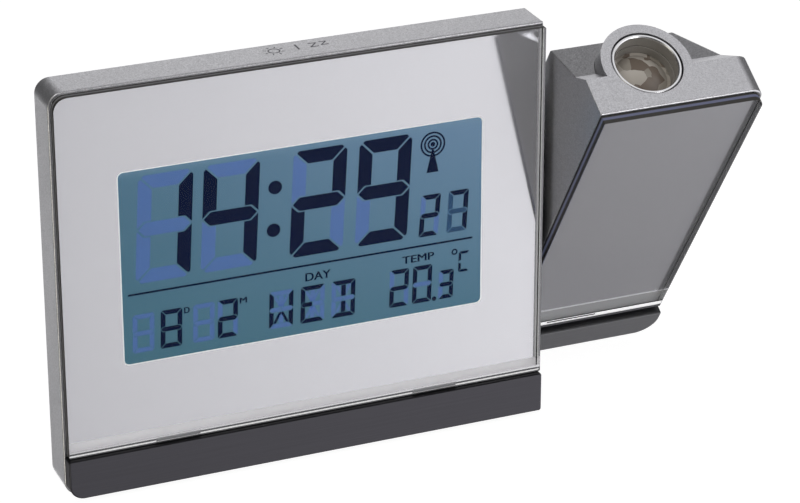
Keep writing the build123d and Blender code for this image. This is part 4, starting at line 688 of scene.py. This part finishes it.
for digit, left, width, foot, height, thick, slant, names in SMALL_DIGITS:
    shapes = seven_segments(width, height, thick, SMALL_GAP, SMALL_CORNER)
    lit += placed_segments(shapes, names, left, foot, height, slant)
    turning_off = [name for name in DIGITS[digit] if name not in names]
    fading += placed_segments(shapes, turning_off, left, foot, height, slant)
    others = [name for name in "abcdefg" if name not in DIGITS[digit]]
    ghosts += placed_segments(shapes, others, left, foot, height, slant)


SLIM_SHARE = 0.42


def fourteen_segments(width, height, thick, gap):
    """The bars of a letter: a digit's seven with the middle bar in two, two short uprights in the middle
    and four slanting bars."""
    shapes = seven_segments(width, height, thick, gap, SMALL_CORNER)
    half, middle, centre = thick / 2, height / 2, width / 2
    shapes["g"] = ((gap, middle), (half + gap, middle + half), (centre - gap, middle + half),
                   (centre - gap, middle - half), (half + gap, middle - half))
    shapes["h"] = [(width - x, z) for x, z in shapes["g"]]
    low, high = thick + gap, middle - half - gap
    shapes["l"] = ((centre - half, low), (centre + half, low), (centre + half, high), (centre - half, high))
    shapes["u"] = [(x, height - z) for x, z in shapes["l"]]
    near, far, slim = thick + gap, centre - gap / 2, thick * SLIM_SHARE
    shapes["k"] = ((near, low), (near + slim, low), (far, high - slim), (far, high), (far - slim, high),
                   (near, low + slim))
    shapes["m"] = [(width - x, z) for x, z in shapes["k"]]
    shapes["i"] = [(x, height - z) for x, z in shapes["k"]]
    shapes["j"] = [(width - x, z) for x, z in shapes["i"]]
    return shapes


LETTERS = {"W": "fekmbc", "E": "afedg", "D": "abcdul"}
LETTER_CELLS = (("W", 48.9), ("E", 56.4), ("D", 63.8))
LETTER_WIDTH, LETTER_HEIGHT, LETTER_THICK, LETTER_SLANT = 5.7, 9.0, 1.05, 0.3
for letter, left in LETTER_CELLS:
    shapes = fourteen_segments(LETTER_WIDTH, LETTER_HEIGHT, LETTER_THICK, SMALL_GAP)
    lit += placed_segments(shapes, LETTERS[letter], left, SMALL_FOOT, LETTER_HEIGHT, LETTER_SLANT)
    others = [name for name in shapes if name not in LETTERS[letter]]
    ghosts += placed_segments(shapes, others, left, SMALL_FOOT, LETTER_HEIGHT, LETTER_SLANT)


def circle(x, z, radius, count=28):
    """Round outline."""
    turn = np.arange(count) * 2 * pi / count
    return np.stack([x + radius * np.cos(turn), z + radius * np.sin(turn)], axis=-1)


COLON_DOTS, DOT_RADIUS = ((50.97, 65.94), (50.41, 55.77)), 1.6
DECIMAL_POINT = (89.0, 32.15, 0.55, 16)
DIVIDING_LINE = ((16.42, 45.72), (98.39, 45.6), (98.39, 46.05), (16.42, 46.17))
lit += [circle(*dot, DOT_RADIUS) for dot in COLON_DOTS]
lit.append(circle(*DECIMAL_POINT))
lit.append(facing(DIVIDING_LINE))
GHOST_CELLS = ((17.0, 5.0), (31.0, 5.0))
for left, width in GHOST_CELLS:
    shapes = seven_segments(width, SMALL_HEIGHT, 1.1, SMALL_GAP, SMALL_CORNER)
    ghosts += placed_segments(shapes, "abcdefg", left, SMALL_FOOT, SMALL_HEIGHT, 0.3)


def drawn_ring(x, z, outer, inner, count):
    """Ring of the display between two radii."""
    return upright_band(circle(x, z, outer, count), circle(x, z, inner, count), *MARK_DEPTH)


MAST_X, MAST_Z = 88.57, 70.23
MAST_FOOT = ((88.4, 69.2), (88.7, 69.2), (89.95, 63.5), (87.05, 63.5))
WAVE_RADII, WAVE_HALF = (2.8, 1.95, 1.1), 0.2
mast_rings = [drawn_ring(MAST_X, MAST_Z, r + WAVE_HALF, r - WAVE_HALF, 40) for r in WAVE_RADII]
lit.append(circle(MAST_X, MAST_Z, 0.55, 24))
lit.append(facing(MAST_FOOT))
CELSIUS_LEFT, CELSIUS_FOOT, CELSIUS_HEIGHT = 94.9, 37.7, 5.1
celsius = seven_segments(2.7, CELSIUS_HEIGHT, 0.62, 0.08, SMALL_CORNER)
lit += placed_segments(celsius, "afed", CELSIUS_LEFT, CELSIUS_FOOT, CELSIUS_HEIGHT, 0.2)
degree_ring = drawn_ring(94.0, 42.96, 0.75, 0.42, 24)


def segment_ink(name, colour, alpha=1.0):
    """Segments and captions of the display. Their glow is painted light, standing for the backlight that
    shines through them.
    """
    made, tree, shader = new_material(name, emission_strength=0.6, specular_ior_level=0.0, alpha=alpha)
    tone = add_effect(tree, mottle_effect, Colour=colour, Amount=0.06)["Colour"]
    feed(shader, Base_Color=tone, Emission_Color=tone)
    return made


lit_ink = segment_ink("segment_on", (0.003, 0.006, 0.024, 1))
fading_ink = segment_ink("segment_turning_off", (0.02, 0.055, 0.12, 1), 0.8)
ghost_ink = segment_ink("segment_off", (0.075, 0.13, 0.38, 1), 0.34)
SEEN_SHIFT = np.array((-0.23, 0.0, 0.29))


def add_marks(name, parts, material, shift=SEEN_SHIFT):
    """One piece of many marks. Those of the display are set so that they look right through the plate."""
    points, faces = joined(parts)
    add_piece(name, (points + shift, faces), material, on_clock, "root")


lit_slabs = [upright_slab(part, *MARK_DEPTH) for part in lit]
add_marks("segments_on", lit_slabs + mast_rings + [degree_ring], lit_ink)
add_marks("segments_turning_off", [upright_slab(part, *MARK_DEPTH) for part in fading], fading_ink)
add_marks("segments_off", [upright_slab(part, *GHOST_DEPTH) for part in ghosts], ghost_ink)


BOLD = 0.13


def flat_words(words, left, right, foot, top, front, back):
    """Plain lettering, fitted into the box between left, right, foot and top, and made bold by a second
    copy beside the first."""
    curve = bpy.data.curves.new("words", "FONT")
    curve.body = words
    curve.extrude = 0.5
    holder = bpy.data.objects.new("words", curve)
    bpy.context.scene.collection.objects.link(holder)
    bpy.context.view_layer.update()
    mesh = bpy.data.meshes.new_from_object(holder)
    points = np.array([v.co for v in mesh.vertices], float)
    faces = [list(face.vertices) for face in mesh.polygons]
    bpy.data.objects.remove(holder)
    bpy.data.curves.remove(curve)
    bpy.data.meshes.remove(mesh)
    low, high = points.min(axis=0), points.max(axis=0)
    x, z, y = ((points - low) / (high - low)).T
    line = np.stack([left + x * (right - left), back + y * (front - back), foot + z * (top - foot)], axis=-1)
    return joined([(line + (side, 0, 0), faces) for side in (-BOLD / 2, BOLD / 2)])


LABELS = (("TEMP", 81.2, 88.9, 42.1, 43.9), ("DAY", 57.8, 63.75, 42.0, 43.95), ("D", 29.2, 30.4, 39.4, 40.8),
          ("M", 42.2, 43.8, 39.4, 40.8))
add_marks("display_labels", [flat_words(*label, *MARK_DEPTH) for label in LABELS], lit_ink)


# ---------------------------------------------------------------- marks on the top
# Three grey marks are printed on the roof of the main housing over the touch pad: a lamp, a bar and two
# letters Z, for light and snooze.

MARK_RAISE = 0.015
TOP_LINE = 0.32


def on_top(points):
    """Outline in X and Y as a thin print on the main housing's roof."""
    count = len(points)
    low = np.column_stack([points, np.full(count, clock_height - MARK_RAISE)])
    high = np.column_stack([points, np.full(count, clock_height + MARK_RAISE)])
    wall = grid_faces(2, count, ring_columns=True)
    ends = [list(range(count - 1, -1, -1)), list(range(count, 2 * count))]
    return np.concatenate([low, high]), [*ends, *wall]


def stroke(start, end, line=TOP_LINE):
    """Outline of a straight line between two points, with square ends."""
    start, end = np.array(start, float), np.array(end, float)
    along = (end - start) / np.linalg.norm(end - start)
    side = np.array([-along[1], along[0]]) * line / 2
    return facing(np.array([start - side, end - side, end + side, start + side]))


def zed(x, y, width, height):
    """The three strokes of a letter Z that leans with the row of marks."""
    corners = ((x, y + height), (x + width, y + height), (x, y), (x + width, y))
    return [stroke(corners[0], corners[1]), stroke(corners[1], corners[2]), stroke(corners[2], corners[3])]


LAMP_X, LAMP_Y, LAMP_R = 53.06, 5.74, 1.25
RAYS, RAY_NEAR, RAY_FAR, RAY_LINE = 8, LAMP_R + 0.5, LAMP_R + 1.25, 0.26
marks = [stroke((58.55, 4.6), (58.55, 7.7), 0.4)]
for i in range(RAYS):
    turn = 2 * pi * i / RAYS + pi / RAYS
    marks.append(stroke((LAMP_X + RAY_NEAR * cos(turn), LAMP_Y + RAY_NEAR * sin(turn)),
                        (LAMP_X + RAY_FAR * cos(turn), LAMP_Y + RAY_FAR * sin(turn)), RAY_LINE))
marks += zed(61.4, 5.0, 1.9, 2.1) + zed(64.0, 5.4, 1.7, 1.9)


def turned_tube(centre, radii, heights, count):
    """Tube round an upright axis: a rectangle between two radii and two heights, carried round it."""
    turn = np.arange(count) * 2 * pi / count
    (x, y), (inner, outer), (low, high) = centre, radii, heights
    rows = [np.stack([x + r * np.cos(turn), y + r * np.sin(turn), np.full(count, z)], axis=-1)
            for r, z in ((outer, low), (outer, high), (inner, high), (inner, low))]
    return np.concatenate(rows), grid_faces(4, count, ring_rows=True, ring_columns=True)[:, ::-1]


lamp_ring = turned_tube((LAMP_X, LAMP_Y), (LAMP_R - TOP_LINE / 2, LAMP_R + TOP_LINE / 2),
                        (clock_height - MARK_RAISE, clock_height + MARK_RAISE), 36)


grey_ink = printed("grey_ink", (0.10, 0.10, 0.12, 1), 0.0, 0.5, 0.1)
add_marks("touch_marks", [on_top(part) for part in marks] + [lamp_ring], grey_ink, 0)


# ---------------------------------------------------------------- focus ring, lens and its carrier
# A turned aluminium ring sits in the head's ear. Turning it slides a plastic carrier that holds the front
# # lens, whose painted browns stand for the dark projector tube seen through it.

def turned_metal():
    """Turned aluminium, rougher and smoother along its fine lines."""
    made, tree, shader = new_material("turned_metal", metallic=1.0)
    effect = add_effect(tree, brushed_effect, Colour=(0.66, 0.66, 0.67, 1), Amount=0.12)
    feed(shader, Base_Color=effect["Colour"], Roughness=mapped(tree, effect["Height"], 0.12, 0.24))
    return made


def moulded_grain():
    """Fine grain of moulded plastic: a small change of tone and a shallow noise as height."""
    group, given, results = new_effect(
        "moulded_grain",
        [("Colour", "Color", SILVER), ("Grain Size", "Float", 0.2), ("Depth", "Float", 0.4)],
        [("Colour", "Color"), ("Mask", "Float"), ("Normal", "Vector")])
    density = reckon(group, "DIVIDE", 1 / MM, given["Grain Size"])
    grain = add_node(group, "TexNoise", Vector=own_place(group), Scale=density, Detail=3.0).outputs["Fac"]
    bump = add_node(group, "Bump", Distance=0.02 * MM, Strength=given["Depth"], Height=grain)
    feed(results, Colour=toned(group, given["Colour"], mapped(group, grain, 0.88, 1.12)), Mask=grain,
         Normal=bump.outputs["Normal"])
    return group


grain_effect = moulded_grain()


def moulded(name, colour, roughness, grain=0.2, depth=0.4, **values):
    """Moulded plastic, rubber or plated metal with this colour, roughness and grain."""
    made, tree, shader = new_material(name, **values)
    effect = add_effect(tree, grain_effect, Colour=(*colour, 1), Grain_Size=grain, Depth=depth)
    feed(shader, Base_Color=effect["Colour"], Normal=effect["Normal"],
         Roughness=mapped(tree, effect["Mask"], roughness * 0.85, roughness * 1.15))
    return made


FACET_SIZE, FACET_BEND, FACET_TILT = 3.6, 1.6, 0.5
FACET_TONES = ((0.0, (0.21, 0.17, 0.14, 1)), (0.28, (0.33, 0.30, 0.26, 1)), (0.5, (0.47, 0.43, 0.38, 1)),
               (0.72, (0.52, 0.48, 0.43, 1)))


def faceted_lens():
    """Moulded lens in cells, each with its own tilt and its own brown: the browns are a painted view of what
    lies behind it, broken up by the facets.
    """
    made, tree, shader = new_material("faceted_lens", roughness=0.22)
    place = own_place(tree)
    bends = add_node(tree, "TexNoise", Vector=place, Scale=400.0, Detail=1.0).outputs["Color"]
    pulled = reckon_vector(tree, "MULTIPLY_ADD", bends, (FACET_BEND * MM,) * 3, place)
    cells = add_node(tree, "TexVoronoi", Vector=pulled, Scale=1 / (FACET_SIZE * MM)).outputs["Color"]
    lean = reckon_vector(tree, "MULTIPLY_ADD", cells, (FACET_TILT,) * 3, (-FACET_TILT / 2,) * 3)
    leant = reckon_vector(tree, "ADD", add_node(tree, "NewGeometry").outputs["Normal"], lean)
    tones = add_node(tree, "ValToRGB", Fac=add_node(tree, "SeparateColor", Color=cells).outputs["Red"])
    ramp = tones.color_ramp
    ramp.interpolation = "CONSTANT"
    ramp.elements[0].color = FACET_TONES[0][1]
    ramp.elements[1].position, ramp.elements[1].color = FACET_TONES[-1]
    for position, colour in FACET_TONES[1:-1]:
        ramp.elements.new(position).color = colour
    feed(shader, Base_Color=tones.outputs["Color"], Normal=reckon_vector(tree, "NORMALIZE", leant))
    return made


LENS_AXIS = (131.74, 11.56)
RING_BORE = 7.32
LINING_RADII, LINING_HEIGHTS = (RING_BORE - 0.035, RING_BORE - 0.01), (92.6, 95.2)
taupe_plastic = moulded("taupe_plastic", (0.33, 0.31, 0.285), 0.7)
# A thin taupe sleeve just inside the ring's bore makes its inner wall darker.
lining = turned_tube(LENS_AXIS, LINING_RADII, LINING_HEIGHTS, 64)
add_piece("ring_lining", lining, taupe_plastic, on_head, "focus_ring")
finish_nodes(turned_metal(), "focus_ring")
finish_nodes(taupe_plastic, "lens_carrier")
finish_nodes(faceted_lens(), "front_lens")


# ---------------------------------------------------------------- buttons, knob, socket, screws and feet
# The back has five push buttons, the projection slide and the power socket, all in black plastic. Zinc
# plated screws sit at the bottom of their wells, and four rubber discs are the feet.

finish_nodes(moulded("black_plastic", (0.022, 0.022, 0.024), 0.42), "mode_button", "alarm_button",
             "up_button", "down_button", "radio_button", "flip_button", "projection_knob", "power_socket",
             "thrust_washer", "tact_switches", "projection_switch", "flip_switch", "buzzer", "hinge_shaft",
             "projector_tube")
finish_nodes(moulded("rubber", (0.018, 0.018, 0.018), 0.8, grain=0.35, depth=0.8), "rubber_feet")
finish_nodes(moulded("zinc_plate", (0.55, 0.55, 0.57), 0.3, grain=0.3, depth=0.2, metallic=1.0),
             "housing_screws", "board_screws", "head_screws", "small_head_screws", "friction_washer",
             "retaining_clip", "battery_contacts", "touch_electrode")


# ---------------------------------------------------------------- pieces inside
# What the housings hide: the display's holder and lighting, the boards and what is soldered on them,
# the cells, the antenna, and the projector's lenses, slide and lamp.

def striped():
    """Stripes across one direction: the place along it, in pitches, cut to a share of each pitch."""
    group, given, results = new_effect(
        "striped", [("Colour", "Color", SILVER), ("Stripe", "Color", SILVER), ("Along", "Vector", (1, 0, 0)),
                    ("Pitch", "Float", 1.0), ("Share", "Float", 0.5)],
        [("Colour", "Color"), ("Mask", "Float")])
    along = dot_product(group, own_place(group), given["Along"])
    pitches = reckon(group, "DIVIDE", along, reckon(group, "MULTIPLY", given["Pitch"], MM))
    inside = reckon(group, "LESS_THAN", reckon(group, "FRACT", pitches), given["Share"])
    feed(results, Colour=mixed(group, inside, given["Colour"], given["Stripe"]), Mask=inside)
    return group


striped_effect = striped()


def striped_part(name, colour, stripe, along, pitch, share, roughness):
    """Part with stripes of a second colour, this far apart in millimetres."""
    made, tree, shader = new_material(name, roughness=roughness)
    bands = add_effect(tree, striped_effect, Colour=(*colour, 1), Stripe=(*stripe, 1), Along=along,
                       Pitch=pitch, Share=share)
    feed(shader, Base_Color=add_effect(tree, mottle_effect, Colour=bands["Colour"], Amount=0.3)["Colour"])
    return made


circuit_board = striped_part("circuit_board", (0.012, 0.10, 0.04), (0.03, 0.17, 0.07), (0.8, 0.1, 0.6), 1.3,
                             0.3, 0.35)
cell_wrap = striped_part("cell_wrap", (0.05, 0.055, 0.07), (0.62, 0.42, 0.16), (1, 0, 0), 46.0, 0.22, 0.25)
striped_rubber = striped_part("striped_rubber", (0.55, 0.32, 0.34), (0.03, 0.03, 0.03), (1, 0, 0), 0.4, 0.5,
                              0.7)
finish_nodes(circuit_board, "main_board", "button_board", "radio_board", "led_board", "flip_board")
finish_nodes(moulded("white_plastic", (0.75, 0.75, 0.73), 0.5), "display_holder", "backlight_films",
             "backlight_leds", "lead_connector")
finish_nodes(moulded("clear_plastic", (0.9, 0.92, 0.93), 0.06, transmission_weight=1.0, ior=1.49),
             "light_guide", "inner_lens", "condenser_lens", "projector_led")
finish_nodes(moulded("projection_glass", (0.03, 0.035, 0.045), 0.15), "projection_display")
finish_nodes(moulded("black_resin", (0.015, 0.015, 0.016), 0.25), "board_components", "temperature_sensor")
finish_nodes(moulded("ferrite", (0.05, 0.045, 0.045), 0.55, grain=0.4), "radio_antenna")
finish_nodes(cell_wrap, "cells")
finish_nodes(striped_rubber, "elastomer_connectors")
finish_nodes(moulded("brass", (0.62, 0.44, 0.17), 0.25, metallic=1.0), "hinge_bush")
finish_nodes(moulded("lead_sleeve", (0.03, 0.03, 0.032), 0.5), "projector_lead_main", "projector_lead_head")


# ---------------------------------------------------------------- light
# Plain soft studio light: a dim room with pale walls and windows, each a soft spot in its own direction,
# also below the horizon where the sweep lies. A warm one low at the left and a low soft lamp at the front
# right draw the bright lines along the housings' edges.

ROOM_BASE = 0.10
PLAIN, WARM = (0.99, 0.985, 1.0), (1.0, 0.96, 0.82)
WINDOWS = (
    # middle of the window, narrowness, strength, colour
    ((0.43, -0.10, 0.90), 20.0, 1.15, PLAIN),
    ((0.33, 0.93, 0.17), 20.0, 1.20, PLAIN),
    ((0.0, 0.92, -0.39), 36.0, 1.55, PLAIN),
    ((-0.86, -0.30, -0.41), 50.0, 4.20, WARM),
    ((-0.66, -0.42, 0.59), 30.0, 1.60, WARM),
    ((0.80, -0.55, -0.28), 4.0, 1.78, PLAIN),
    ((-0.40, -0.85, -0.35), 12.0, 0.22, PLAIN),
    ((0.41, 0.05, -0.91), 6.0, 0.035, PLAIN),
)

world = bpy.data.worlds.new("room")
bpy.context.scene.world = world
world.use_nodes = True
world.cycles.sampling_method = "NONE"
room = world.node_tree
room.nodes.clear()
direction = add_node(room, "TexCoord").outputs["Generated"]
level = [ROOM_BASE * part for part in PLAIN]
for towards, narrow, strength, colour in WINDOWS:
    cosine = dot_product(room, direction, np.array(towards) / np.linalg.norm(towards))
    spot = reckon(room, "POWER", reckon(room, "MAXIMUM", cosine, 0), narrow)
    level = reckon_vector(room, "MULTIPLY_ADD", spot, [strength * part for part in colour], level)
lighting = add_node(room, "Background", Color=level, Strength=1.0).outputs["Background"]
seen = add_node(room, "Background", Color=(1, 1, 1, 1), Strength=1.0).outputs["Background"]
choice = add_node(room, "MixShader", add_node(room, "LightPath").outputs["Is Camera Ray"], lighting, seen)
feed(room.nodes.new("ShaderNodeOutputWorld"), Surface=choice.outputs["Shader"])


def soft_lamp(name, place, aim, width, height, power):
    """Soft lamp of this width and height at one place that looks at another."""
    lamp = bpy.data.objects.new(name, bpy.data.lights.new(name, "AREA"))
    bpy.context.scene.collection.objects.link(lamp)
    lamp.data.shape = "RECTANGLE"
    lamp.data.size = width
    lamp.data.size_y = height
    lamp.data.energy = power
    lamp.location = place
    lamp.rotation_mode = "QUATERNION"
    lamp.rotation_quaternion = (lamp.location - type(lamp.location)(aim)).to_track_quat("Z", "Y")


soft_lamp("high_lamp", (-0.35, -0.25, 0.9), (0, 0, 0.05), 0.6, 0.6, 2.0)
soft_lamp("front_lamp", (0.505, -0.93, 0.28), (0, 0, 0.05), 0.3, 0.4, 1.6)
